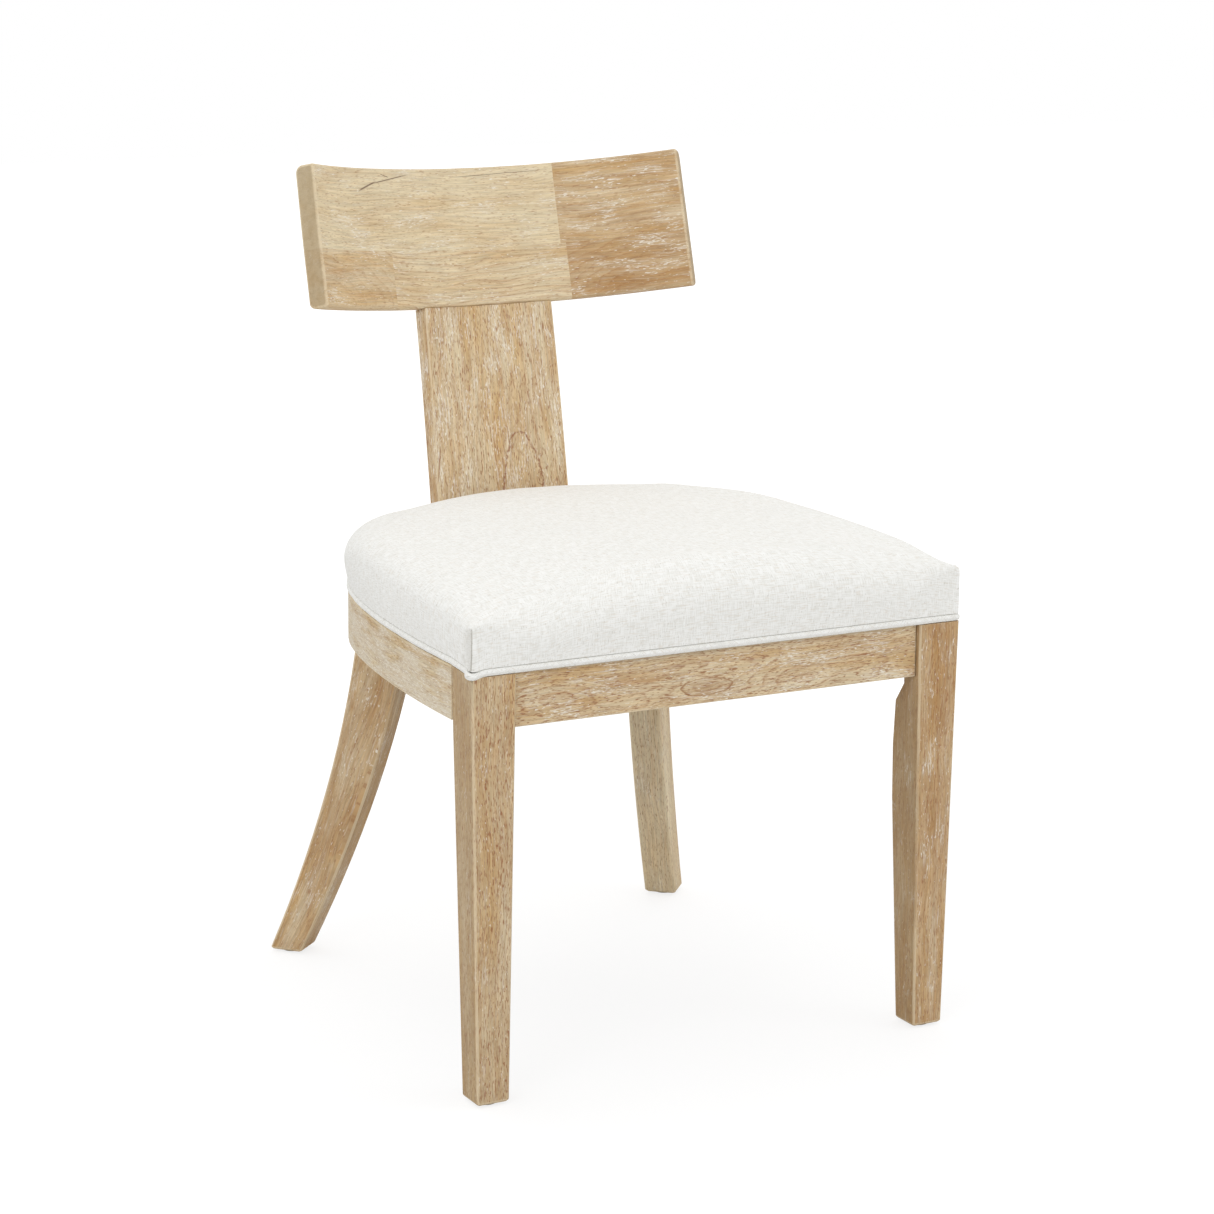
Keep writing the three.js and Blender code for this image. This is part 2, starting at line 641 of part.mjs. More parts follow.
// What the frame's corner takes away from the leg above the rail's underside.
function frameCornerCutter() {
  const { bend, back } = frame;
  const points = [frame.side.at(-1), ...bend, ...back.slice(1)];
  const normals = normalsOf(points);
  const gap = RAIL_THICKNESS + SEAM;
  const inner = points.map((point, i) => point.clone().addScaledVector(normals[i], gap));
  const far = planPoint(HALF_FRONT, SEAT_DEPTH + REAR_TOP_DEPTH);
  const outline = [...inner, planPoint(inner.at(-1).x, far.y), far, planPoint(far.x, inner[0].y)];
  return plate(outline, RAIL_UNDERSIDE - SEAM, RAIL_TOP + OVERRUN);
}

// The back rail's plan, with a gap left round its ends and its inner face.
function backBand(gap) {
  const right = frame.back.map((point) => point.clone());
  right[0].addScaledVector(BACK_JOINT_TANGENT, -gap);
  const points = [...right, ...flipped(right).slice(1)];
  const leftNormal = planPoint(-BACK_JOINT_NORMAL.x, BACK_JOINT_NORMAL.y);
  const normals = normalsOf(points, BACK_JOINT_NORMAL, leftNormal);
  return bandBetween(points, normals, 0, BACK_RAIL_THICKNESS + gap);
}

// The two bolts of a rear leg, each from the seat of its head to its point in the frame.
const boltPlaces = [1, -1].map((sign) => {
  const z = RAIL_MIDDLE + (sign * BOLT_SPACING) / 2;
  const seat = rearFrontOut(z) + BOLT_POCKET;
  const tip = REAR_SETBACK - RAIL_THICKNESS + BOLT_BITE;
  const direction = new THREE.Vector3(SPLAY_OUT.x, SPLAY_OUT.y, 0);
  return { start: rearPoint(seat, sign * BOLT_SIDE_PLACE, z), direction, length: tip - seat };
});

function bolt({ start, direction, length }) {
  const [radius, head, height] = [BOLT_RADIUS, BOLT_HEAD_RADIUS, BOLT_HEAD_HEIGHT];
  return fastener(radius, head, height, radius, start, direction, length);
}

function boltHoles() {
  return boltPlaces.flatMap((place) => [
    shankHole(BOLT_RADIUS, place),
    headPocket(BOLT_HEAD_RADIUS, BOLT_POCKET + OVERRUN, place),
  ]);
}

const REAR_GLIDE_OUT = rearFrontOut(GLIDE_HEIGHT) + REAR_FOOT_DEPTH / 2;
const REAR_GLIDE_POINT = rearPoint(REAR_GLIDE_OUT, 0, 0);
const REAR_GLIDE_CENTRE = planPoint(REAR_GLIDE_POINT.x, REAR_GLIDE_POINT.y);

function rearLeg() {
  const foot = GLIDE_HEIGHT + SEAM;
  const rings = [rearLegSection(foot, LEG_EASE)];
  for (let i = 0; i <= REAR_STEPS; i += 1) {
    const z = THREE.MathUtils.lerp(foot + LEG_EASE, RAIL_UNDERSIDE, i / REAR_STEPS);
    rings.push(rearLegSection(z, 0));
  }
  rings.push(rearLegSection(RAIL_TOP, 0));
  const backRailRoom = plate(backBand(SEAM), RAIL_UNDERSIDE - SEAM, RAIL_TOP + OVERRUN);
  const cutters = [frameCornerCutter(), backRailRoom, glideHole(REAR_GLIDE_CENTRE), ...boltHoles()];
  return cut(skin(rings), cutters);
}

// Rails

function frontRail() {
  const end = (z) => legInnerX(z) - SEAM;
  const [low, high] = [RAIL_UNDERSIDE, RAIL_TOP];
  const face = new THREE.Shape([
    planPoint(-end(low), low),
    planPoint(end(low), low),
    planPoint(end(high), high),
    planPoint(-end(high), high),
  ]);
  const geometry = new THREE.ExtrudeGeometry(face, {
    depth: RAIL_THICKNESS - 2 * RAIL_EASE,
    steps: 1,
    bevelThickness: RAIL_EASE,
    bevelSize: RAIL_EASE,
    bevelOffset: -RAIL_EASE,
    bevelSegments: 1,
  });
  const upright = new THREE.Matrix4().makeBasis(
    new THREE.Vector3(1, 0, 0),
    new THREE.Vector3(0, 0, 1),
    new THREE.Vector3(0, -1, 0),
  );
  geometry.applyMatrix4(upright).translate(0, FRONT_RAIL_BACK - RAIL_EASE, 0);
  const holes = [...dowelHoles(dowelPlaces.front), shankHole(SCREW_RADIUS, blockScrewPlaces.front)];
  return cut(geometry, [...holes, ...holes.map(mirrored)]);
}

function sideRail() {
  const last = FRAME_SIDE.length - 1;
  const points = FRAME_SIDE.map((point) => point.clone());
  points[0].y += SEAM;
  points[last].addScaledVector(BACK_JOINT_TANGENT, -SEAM);
  const band = bandBetween(points, FRAME_SIDE_NORMALS, 0, RAIL_THICKNESS);
  return cut(plate(band, RAIL_UNDERSIDE, RAIL_TOP, RAIL_EASE), [
    ...dowelHoles(dowelPlaces.side),
    ...dowelHoles(dowelPlaces.back),
    shankHole(SCREW_RADIUS, blockScrewPlaces.side),
    ...boltPlaces.map((place) => shankHole(BOLT_RADIUS, place)),
  ]);
}

function backLine(halfWidth) {
  const right = [];
  for (let i = 0; i <= FRAME_STEPS.back; i += 1) {
    const x = halfWidth * (1 - i / FRAME_STEPS.back);
    right.push(planPoint(x, SEAT_DEPTH - BACK_BOW * (x / BACK_BOW_HALF_WIDTH) ** 2));
  }
  return [...right, ...flipped(right).slice(1)];
}

function backRail() {
  const low = new THREE.Vector3(
    -RAIL_TENON_WIDTH / 2 - HOLE_PLAY,
    SPLAT_FRONT_Y + TENON_SETBACK - HOLE_PLAY,
    RAIL_TOP - TENON_LENGTH - HOLE_PLAY,
  );
  const high = new THREE.Vector3(
    RAIL_TENON_WIDTH / 2 + HOLE_PLAY,
    SPLAT_FRONT_Y + TENON_SETBACK + TENON_THICKNESS + HOLE_PLAY,
    RAIL_TOP + OVERRUN,
  );
  const holes = [...dowelHoles(dowelPlaces.back), shankHole(SCREW_RADIUS, cleatScrewPlaces.rail)];
  return cut(plate(backBand(0), RAIL_UNDERSIDE, RAIL_TOP, RAIL_EASE), [
    block(low, high),
    ...holes,
    ...holes.map(mirrored),
  ]);
}

// Corner blocks and cleat, with the screws that hold them and the seat

const BLOCK_INNER_X = legInnerX(RAIL_TOP) - SEAM;
const BLOCK_FRONT_Y = FRONT_RAIL_BACK + SEAM;
const BLOCK_TIP_Y = LEG_TOP_DEPTH + BLOCK_REACH;
const BLOCK_TIP_X = sideInnerX(BLOCK_TIP_Y) - SEAM;
const BLOCK_NEAR_X = BLOCK_INNER_X - BLOCK_RUN;

// Places along the block's slanting face.
const slantY = (x) =>
  THREE.MathUtils.mapLinear(x, BLOCK_NEAR_X, BLOCK_TIP_X, BLOCK_FRONT_Y, BLOCK_TIP_Y);
const slantX = (y) =>
  THREE.MathUtils.mapLinear(y, BLOCK_FRONT_Y, BLOCK_TIP_Y, BLOCK_NEAR_X, BLOCK_TIP_X);

const frontScrewX = BLOCK_INNER_X - BLOCK_RUN * FRONT_SCREW_SHARE;
const sideScrewY = LEG_TOP_DEPTH + BLOCK_REACH * SIDE_SCREW_SHARE;
const frontScrewSeat = slantY(frontScrewX) - POCKET_DEPTH;
const sideScrewSeat = slantX(sideScrewY) + POCKET_DEPTH;

const blockScrewPlaces = {
  front: {
    start: new THREE.Vector3(frontScrewX, frontScrewSeat, BLOCK_MIDDLE),
    direction: new THREE.Vector3(0, -1, 0),
    length: frontScrewSeat - FRONT_RAIL_BACK + SCREW_BITE,
  },
  side: {
    start: new THREE.Vector3(sideScrewSeat, sideScrewY, BLOCK_MIDDLE),
    direction: new THREE.Vector3(1, 0, 0),
    length: sideInnerX(sideScrewY) - sideScrewSeat + SCREW_BITE,
  },
  seat: {
    start: new THREE.Vector3(
      BLOCK_INNER_X,
      (FRONT_RAIL_BACK + LEG_TOP_DEPTH) / 2,
      BLOCK_BOTTOM + SCREW_HEAD_HEIGHT,
    ),
    direction: new THREE.Vector3(0, 0, 1),
    length: BOARD_BOTTOM + SEAT_SCREW_BITE - BLOCK_BOTTOM - SCREW_HEAD_HEIGHT,
  },
};

const CLEAT_FRONT_Y = SEAT_DEPTH - BACK_RAIL_THICKNESS - SEAM - CLEAT_DEPTH;
const CLEAT_HALF_WIDTH =
  rearPoint(rearFrontOut(RAIL_TOP), -REAR_THICKNESS / 2, RAIL_TOP).x - CLEAT_LEG_CLEARANCE;
const cleatRailScrewX = CLEAT_HALF_WIDTH * CLEAT_RAIL_SCREW_SHARE;
const cleatSeatScrewX = CLEAT_HALF_WIDTH * CLEAT_SEAT_SCREW_SHARE;

const cleatScrewPlaces = {
  rail: {
    start: new THREE.Vector3(cleatRailScrewX, CLEAT_FRONT_Y + SCREW_HEAD_HEIGHT, BLOCK_MIDDLE),
    direction: new THREE.Vector3(0, 1, 0),
    length: CLEAT_DEPTH - SCREW_HEAD_HEIGHT + SCREW_BITE,
  },
  seat: {
    start: new THREE.Vector3(
      cleatSeatScrewX,
      CLEAT_FRONT_Y + CLEAT_SEAT_SCREW_INSET,
      BLOCK_BOTTOM + SCREW_HEAD_HEIGHT,
    ),
    direction: new THREE.Vector3(0, 0, 1),
    length: blockScrewPlaces.seat.length,
  },
};

function screw({ start, direction, length }) {
  const [radius, head, height] = [SCREW_RADIUS, SCREW_HEAD_RADIUS, SCREW_HEAD_HEIGHT];
  return fastener(radius, head, height, SCREW_POINT, start, direction, length);
}

function screwHoles(place, pocket) {
  return [shankHole(SCREW_RADIUS, place), headPocket(SCREW_HEAD_RADIUS, pocket, place)];
}

function cornerBlock() {
  const outline = [
    planPoint(SIDE_INNER_X - SEAM, BLOCK_FRONT_Y),
    planPoint(SIDE_INNER_X - SEAM, LEG_TOP_DEPTH),
    planPoint(BLOCK_TIP_X, BLOCK_TIP_Y),
    planPoint(BLOCK_NEAR_X, BLOCK_FRONT_Y),
  ];
  return cut(plate(outline, BLOCK_BOTTOM, RAIL_TOP), [
    ...screwHoles(blockScrewPlaces.front, POCKET_DEPTH + OVERRUN),
    ...screwHoles(blockScrewPlaces.side, POCKET_DEPTH + OVERRUN),
    ...screwHoles(blockScrewPlaces.seat, SCREW_HEAD_HEIGHT + OVERRUN),
  ]);
}

function backCleat() {
  const points = backLine(CLEAT_HALF_WIDTH);
  const normals = normalsOf(points);
  const inner = BACK_RAIL_THICKNESS + SEAM;
  const band = bandBetween(points, normals, inner, inner + CLEAT_DEPTH);
  const right = [
    ...screwHoles(cleatScrewPlaces.rail, SCREW_HEAD_HEIGHT + OVERRUN),
    ...screwHoles(cleatScrewPlaces.seat, SCREW_HEAD_HEIGHT + OVERRUN),
  ];
  return cut(plate(band, BLOCK_BOTTOM, RAIL_TOP), [...right, ...right.map(mirrored)]);
}

// Splat and crest rail

const CREST_UP = new THREE.Vector3(0, Math.sin(CREST_LEAN), Math.cos(CREST_LEAN));
const CREST_BACK = new THREE.Vector3(0, Math.cos(CREST_LEAN), -Math.sin(CREST_LEAN));
const CREST_FOOT = new THREE.Vector3(0, CREST_FOOT_Y, CREST_FOOT_Z);

// A box in the crest rail's own directions: across, back from its face and up from its foot.
function crestBox(low, high) {
  const turn = new THREE.Matrix4().makeBasis(new THREE.Vector3(1, 0, 0), CREST_BACK, CREST_UP);
  return block(low, high).applyMatrix4(turn).translate(CREST_FOOT.x, CREST_FOOT.y, CREST_FOOT.z);
}

function crestTenon(play, foot) {
  const low = new THREE.Vector3(-CREST_TENON_WIDTH / 2 - play, TENON_SETBACK - play, foot);
  const high = new THREE.Vector3(
    CREST_TENON_WIDTH / 2 + play,
    TENON_SETBACK + TENON_THICKNESS + play,
    TENON_LENGTH + play - SEAM,
  );
  return crestBox(low, high);
}

function splatFootTenon() {
  const front = SPLAT_FRONT_Y + TENON_SETBACK;
  return block(
    new THREE.Vector3(-RAIL_TENON_WIDTH / 2, front, RAIL_TOP - TENON_LENGTH),
    new THREE.Vector3(RAIL_TENON_WIDTH / 2, front + TENON_THICKNESS, RAIL_TOP + TENON_ROOT),
  );
}

// One level of the splat: hollow in front and behind, with eased corners.
function splatSection(centre, along, halfWidth, curvature) {
  const toFront = new THREE.Vector3(0, -along.z, along.y);
  const at = (x, depth) => {
    const forward = (x * x * curvature) / 2 - depth;
    const across = x * (1 + depth * curvature);
    return new THREE.Vector3(across, 0, 0).add(centre).addScaledVector(toFront, forward);
  };
  const flat = halfWidth - SPLAT_EASE;
  const columns = [];
  for (let i = 0; i <= SPLAT_COLUMNS; i += 1) {
    columns.push(THREE.MathUtils.lerp(-flat, flat, i / SPLAT_COLUMNS));
  }
  return [
    ...columns.map((x) => at(x, 0)),
    at(halfWidth, SPLAT_EASE),
    at(halfWidth, SPLAT_THICKNESS - SPLAT_EASE),
    ...columns.map((x) => at(-x, SPLAT_THICKNESS)),
    at(-halfWidth, SPLAT_THICKNESS - SPLAT_EASE),
    at(-halfWidth, SPLAT_EASE),
  ];
}

// Slides points along a direction until they lie on a plane.
function onto(points, along, planeNormal, planePoint) {
  return points.map((point) => {
    const distance = planePoint.clone().sub(point).dot(planeNormal) / along.dot(planeNormal);
    return point.clone().addScaledVector(along, distance);
  });
}

function backSplat() {
  const foot = new THREE.Vector3(0, SPLAT_FRONT_Y, RAIL_TOP);
  const footLine = new THREE.Vector3(0, Math.sin(SPLAT_FOOT_LEAN), Math.cos(SPLAT_FOOT_LEAN));
  const knee = foot.clone().addScaledVector(footLine, SPLAT_HANDLE);
  const line = new THREE.QuadraticBezierCurve3(foot, knee, CREST_FOOT);
  const rings = [];
  for (let i = 0; i <= SPLAT_STEPS; i += 1) {
    const share = i / SPLAT_STEPS;
    const halfWidth = THREE.MathUtils.lerp(SPLAT_FOOT_WIDTH, SPLAT_TOP_WIDTH, share) / 2;
    const curvature = THREE.MathUtils.lerp(1 / SPLAT_FOOT_RADIUS, 1 / CREST_RADIUS, share);
    rings.push(splatSection(line.getPoint(share), line.getTangent(share), halfWidth, curvature));
  }
  const upward = new THREE.Vector3(0, 0, 1);
  const footPlane = foot.clone().addScaledVector(upward, SEAM);
  const topPlane = CREST_FOOT.clone().addScaledVector(CREST_UP, -SEAM);
  rings[0] = onto(rings[0], line.getTangent(0), upward, footPlane);
  rings[SPLAT_STEPS] = onto(rings[SPLAT_STEPS], line.getTangent(1), CREST_UP, topPlane);
  return join(skin(rings), [splatFootTenon(), crestTenon(0, -TENON_ROOT)]);
}

// The crest rail's section: [up from the foot, back from the face], with an eased edge at each corner.
function crestSection(inset) {
  const eases = [CREST_BACK_FOOT_EASE, CREST_BACK_TOP_EASE, CREST_FRONT_TOP_EASE, CREST_FRONT_FOOT_EASE];
  return eases.flatMap((radius, quarter) => {
    const atTop = quarter === 1 || quarter === 2;
    const behind = quarter < 2;
    const up = atTop ? CREST_HEIGHT - inset - radius : inset + radius;
    const back = behind ? CREST_THICKNESS - inset - radius : inset + radius;
    const arc = [];
    for (let i = 0; i <= EASE_STEPS; i += 1) {
      const angle = ((quarter - 1 + i / EASE_STEPS) * Math.PI) / 2;
      arc.push([up + radius * Math.sin(angle), back + radius * Math.cos(angle)]);
    }
    return arc;
  });
}

// The ring of the crest rail at a share of its half width, drawn in at the rounded ends.
function crestRing(share, inset) {
  return crestSection(inset).map(([up, back]) => {
    const chord = THREE.MathUtils.mapLinear(up, 0, CREST_HEIGHT, CREST_FOOT_CHORD, CREST_TOP_CHORD);
    const angle = share * Math.asin(chord / 2 / CREST_RADIUS);
    const reach = CREST_RADIUS + back;
    return new THREE.Vector3(reach * Math.sin(angle), 0, 0)
      .addScaledVector(CREST_BACK, reach * Math.cos(angle) - CREST_RADIUS)
      .addScaledVector(CREST_UP, up)
      .add(CREST_FOOT);
  });
}

function crestRail() {
  const halfLength = CREST_RADIUS * Math.asin(CREST_TOP_CHORD / 2 / CREST_RADIUS);
  const end = [];
  for (let i = 1; i <= EASE_STEPS; i += 1) {
    const angle = ((i / EASE_STEPS) * Math.PI) / 2;
    const inset = CREST_END_EASE * (1 - Math.cos(angle)) * CREST_END_SHARE;
    end.push([1 - (CREST_END_EASE * (1 - Math.sin(angle))) / halfLength, inset]);
  }
  const whole = [];
  const straight = 1 - CREST_END_EASE / halfLength;
  for (let i = 0; i <= CREST_STEPS; i += 1) {
    whole.push([THREE.MathUtils.lerp(-straight, straight, i / CREST_STEPS), 0]);
  }
  const start = end.map(([share, inset]) => [-share, inset]).reverse();
  const rings = [...start, ...whole, ...end].map(([share, inset]) => crestRing(share, inset));
  return cut(skin(rings), [crestTenon(HOLE_PLAY, -OVERRUN)]);
}

// Seat

// The closed outline of the cushion, counted from the middle of its front edge.
// Each of its points is a function of how far inside the outline it lies.
function seatOutline() {
  const corner = (share) => (inset) => {
    const radius = Math.max(SEAT_CORNER_RADIUS - inset, SEAT_CORNER_LEAST_RADIUS);
    const angle = (share * Math.PI) / 2;
    const x = HALF_FRONT - inset - radius * (1 - Math.sin(angle));
    return planPoint(x, inset + radius * (1 - Math.cos(angle)));
  };
  const front = (share) => (inset) => corner(0)(inset).multiply(planPoint(share, 1));
  const { side, bend, back } = halfOutline(SEAT_BACK_Y, SEAT_STEPS);
  const line = [...side, ...bend.slice(0, -1), ...back];
  const normals = normalsOf(line, SIDE_NORMAL, planPoint(0, -1));
  const mitres = mitresOf(line, normals);
  const right = [
    ...shares(SEAT_STEPS.front).slice(0, -1).map(front),
    ...shares(SEAT_STEPS.corner).map(corner),
    ...line.map((point, i) => (inset) => point.clone().addScaledVector(normals[i], inset * mitres[i])),
  ];
  const left = right.slice(1, -1).reverse();
  return [...right, ...left.map((point) => (inset) => point(inset).multiply(planPoint(-1, 1)))];
}

const SEAT_OUTLINE = seatOutline();
const SEAT_CENTRE = planPoint(0, SEAT_BACK_Y / 2);

// How near the points of the outline are to a corner: one there, falling to nothing along the edges.
function nearness(corner, spread) {
  return SEAT_OUTLINE.map((at) => {
    const { x, y } = at(0);
    const distance = Math.hypot(corner.x - Math.abs(x), corner.y - y) / spread;
    return Math.exp(-distance * distance);
  });
}

const SEAT_CORNER_SHARES = nearness(planPoint(HALF_FRONT, 0), SEAT_CORNER_SPREAD);
const SEAT_BACK_CORNER_SHARES = nearness(frame.bendMiddle, SEAT_BACK_CORNER_SPREAD);
const SEAT_ROLLS = SEAT_OUTLINE.map((at, i) => {
  const front = THREE.MathUtils.lerp(SEAT_ROLL, SEAT_CORNER_ROLL, SEAT_CORNER_SHARES[i]);
  return THREE.MathUtils.lerp(front, SEAT_BACK_CORNER_ROLL, SEAT_BACK_CORNER_SHARES[i]);
});

// A ring of the seat at one height, at an inset from its outline.
function seatRing(inset, z) {
  return SEAT_OUTLINE.map((at) => lifted(at(inset), z));
}

// How far the walls swell, which they don't at the front corners and against the splat.
const SEAT_BULGES = SEAT_OUTLINE.map((at, i) => {
  const { x, y } = at(0);
  const againstSplat = y > SEAT_CENTRE.y && Math.abs(x) < SPLAT_FOOT_WIDTH / 2;
  return againstSplat ? 0 : SEAT_BULGE * (1 - SEAT_CORNER_SHARES[i]);
});

// The top of the rounded edge at each point of the outline.
const SEAT_EDGES = SEAT_OUTLINE.map((at, i) => {
  const height = THREE.MathUtils.lerp(SEAT_FRONT_HEIGHT, SEAT_BACK_HEIGHT, at(0).y / SEAT_BACK_Y);
  return RAIL_TOP + height - SEAT_CORNER_DROP * SEAT_CORNER_SHARES[i];
});

// The rings of the seat's upholstered form above the welt, at a depth below its surface.
function cushionRings(below, ringShares) {
  const foot = GROOVE_TOP + SEAM + below;
  const swollen = (at, i, inset, z) => {
    const share = (z - foot) / (SEAT_EDGES[i] - foot);
    return lifted(at(inset - SEAT_BULGES[i] * Math.sin(Math.PI * share)), z - below * share);
  };
  const wall = ringShares.wall.map((share) =>
    SEAT_OUTLINE.map((at, i) =>
      swollen(at, i, below, THREE.MathUtils.lerp(foot, SEAT_EDGES[i] - SEAT_ROLLS[i], share)),
    ),
  );
  const roll = ringShares.roll.map((share) =>
    SEAT_OUTLINE.map((at, i) => {
      const angle = (share * Math.PI) / 2;
      const inset = below + (SEAT_ROLLS[i] - below) * (1 - Math.cos(angle));
      return swollen(at, i, inset, SEAT_EDGES[i] - SEAT_ROLLS[i] * (1 - Math.sin(angle)));
    }),
  );
  const crown = ringShares.crown.map((share) =>
    SEAT_OUTLINE.map((at, i) => {
      const top = RAIL_TOP + SEAT_CROWN;
      const drop = (top - SEAT_EDGES[i]) * share ** SEAT_CROWN_POWER;
      return lifted(SEAT_CENTRE.clone().lerp(at(SEAT_ROLLS[i]), share), top - drop - below);
    }),
  );
  return [...wall, ...roll, ...crown];
}

function seatCover() {
  const inside = COVER_THICKNESS;
  const inner = cushionRings(inside, INSIDE_RING_SHARES).reverse();
  const lip = [
    seatRing(GROOVE_INSET + inside, GROOVE_TOP + SEAM + inside),
    seatRing(GROOVE_INSET + inside, LIP_TOP),
    seatRing(LIP_INSET, LIP_TOP),
    seatRing(LIP_INSET, LIP_BOTTOM),
    seatRing(GROOVE_INSET, LIP_BOTTOM),
    seatRing(GROOVE_INSET, GROOVE_TOP),
  ];
  return skin([...inner, ...lip, ...cushionRings(0, OUTSIDE_RING_SHARES)]);
}

function seatFoam() {
  const below = COVER_THICKNESS + SEAM;
  const bottom = seatRing(below, BOARD_TOP + SEAM);
  return skin([bottom, ...cushionRings(below, FOAM_RING_SHARES)]);
}

function seatWelt() {
  const middle = LIP_BOTTOM + SEAM / 2 + WELT_RADIUS;
  const rings = [];
  for (let i = 0; i < WELT_SIDES; i += 1) {
    const angle = (i / WELT_SIDES) * 2 * Math.PI;
    const inset = WELT_INSET + WELT_RADIUS * Math.cos(angle);
    rings.push(seatRing(inset, middle + WELT_RADIUS * Math.sin(angle)));
  }
  return skin(rings, true);
}

// The four holes that the seat screws make, wide enough for their shanks.
function seatScrewHoles() {
  const places = [blockScrewPlaces.seat, cleatScrewPlaces.seat];
  const right = places.map((place) => shankHole(SCREW_RADIUS, place));
  return [...right, ...right.map(mirrored)];
}

function seatBoard() {
  const outline = SEAT_OUTLINE.map((at) => at(BOARD_INSET));
  return cut(plate(outline, BOARD_BOTTOM, BOARD_TOP), seatScrewHoles());
}

function dustCover() {
  const outline = SEAT_OUTLINE.map((at) => at(LIP_INSET + SEAM));
  const top = BOARD_BOTTOM - SEAM;
  return cut(plate(outline, top - DUST_COVER_THICKNESS, top), seatScrewHoles());
}

function glide(centre) {
  const profile = [
    [0, 0],
    [GLIDE_RADIUS - GLIDE_EDGE, 0],
    [GLIDE_RADIUS, GLIDE_EDGE],
    [GLIDE_RADIUS, GLIDE_HEIGHT],
    [GLIDE_PIN_RADIUS, GLIDE_HEIGHT],
    [GLIDE_PIN_RADIUS, GLIDE_HEIGHT + GLIDE_PIN_LENGTH - GLIDE_PIN_RADIUS],
    [0, GLIDE_HEIGHT + GLIDE_PIN_LENGTH],
  ];
  const floor = new THREE.Vector3(centre.x, centre.y, 0);
  return turned(profile, floor, new THREE.Vector3(0, 0, 1), GLIDE_SIDES);
}

// Assembly

const chair = new THREE.Group();
chair.name = "klismos_chair";

function add(name, geometry, finish) {
  const mesh = new THREE.Mesh(geometry, FINISHES[finish].clone());
  mesh.name = name;
  chair.add(mesh);
}

function addPair(name, geometry, finish) {
  add(name + "_right", geometry, finish);
  add(name + "_left", mirrored(geometry), finish);
}

addPair("front_leg", frontLeg(), "oak");
addPair("rear_leg", rearLeg(), "oak");
add("front_rail", frontRail(), "oak");
addPair("side_rail", sideRail(), "oak");
add("back_rail", backRail(), "oak");
add("back_splat", backSplat(), "oak");
add("crest_rail", crestRail(), "oak");
addPair("corner_block", cornerBlock(), "oak");
add("back_cleat", backCleat(), "oak");
add("seat_board", seatBoard(), "plywood");
add("seat_foam", seatFoam(), "foam");
add("seat_cover", seatCover(), "linen");
add("seat_welt", seatWelt(), "linen");
add("dust_cover", dustCover(), "cambric");
addPair("front_glide", glide(FRONT_GLIDE_CENTRE), "nylon");
addPair("rear_glide", glide(REAR_GLIDE_CENTRE), "nylon");
["upper", "lower"].forEach((level, i) => {
  Object.entries(dowelPlaces).forEach(([joint, place]) => {
    addPair(joint + "_dowel_" + level, dowel(place, dowelHeights[i]), "beech");
  });
  addPair("leg_bolt_" + level, bolt(boltPlaces[i]), "steel");
});
addPair("block_screw_front", screw(blockScrewPlaces.front), "steel");
addPair("block_screw_side", screw(blockScrewPlaces.side), "steel");
addPair("seat_screw_front", screw(blockScrewPlaces.seat), "steel");
addPair("cleat_screw", screw(cleatScrewPlaces.rail), "steel");
addPair("seat_screw_back", screw(cleatScrewPlaces.seat), "steel");

// The origin is on the floor under the middle of the chair.
const bounds = new THREE.Box3().setFromObject(chair, true);
chair.position.y = -(bounds.min.y + bounds.max.y) / 2;

export default chair;
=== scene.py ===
"""Looks of a klismos dining chair: limewashed oak, an off-white linen seat, studio light and camera.

Metres, +Z up. The sitter faces -Y. Left and right are as seen from in front of the chair.
"""

import logging
import math
from dataclasses import dataclass, field
from enum import Enum
from typing import Any, Callable, Mapping, Sequence

import bmesh
import bpy
import numpy as np
from mathutils import Matrix, Vector


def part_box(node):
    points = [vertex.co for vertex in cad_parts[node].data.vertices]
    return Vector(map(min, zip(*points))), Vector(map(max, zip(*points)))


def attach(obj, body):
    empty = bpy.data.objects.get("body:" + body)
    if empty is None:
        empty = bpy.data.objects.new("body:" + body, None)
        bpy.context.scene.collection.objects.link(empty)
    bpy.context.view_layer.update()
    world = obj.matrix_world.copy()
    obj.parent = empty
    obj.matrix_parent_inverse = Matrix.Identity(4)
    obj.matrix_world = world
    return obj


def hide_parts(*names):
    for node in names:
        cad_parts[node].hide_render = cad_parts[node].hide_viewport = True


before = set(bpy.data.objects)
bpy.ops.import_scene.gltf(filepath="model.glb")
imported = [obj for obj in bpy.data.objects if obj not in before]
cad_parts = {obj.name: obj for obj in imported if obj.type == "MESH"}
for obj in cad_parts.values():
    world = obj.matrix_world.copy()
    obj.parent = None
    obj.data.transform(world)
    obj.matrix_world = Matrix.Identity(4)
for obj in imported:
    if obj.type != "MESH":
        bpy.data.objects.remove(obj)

log = logging.getLogger("klismos_chair")

BODY = "root"
MM = 0.001

Colour = tuple[float, float, float, float]


# Small tools


def linear(code: str) -> Colour:
    """Turns an sRGB hex colour into the linear colour that Blender's sockets take.

    Args:
        code: six hex digits, such as "C9AD82".

    Returns:
        Linear red, green, blue and an alpha of one.
    """
    values = [int(code[i : i + 2], 16) / 255 for i in (0, 2, 4)]
    red, green, blue = [v / 12.92 if v <= 0.04045 else ((v + 0.055) / 1.055) ** 2.4 for v in values]
    return (red, green, blue, 1.0)


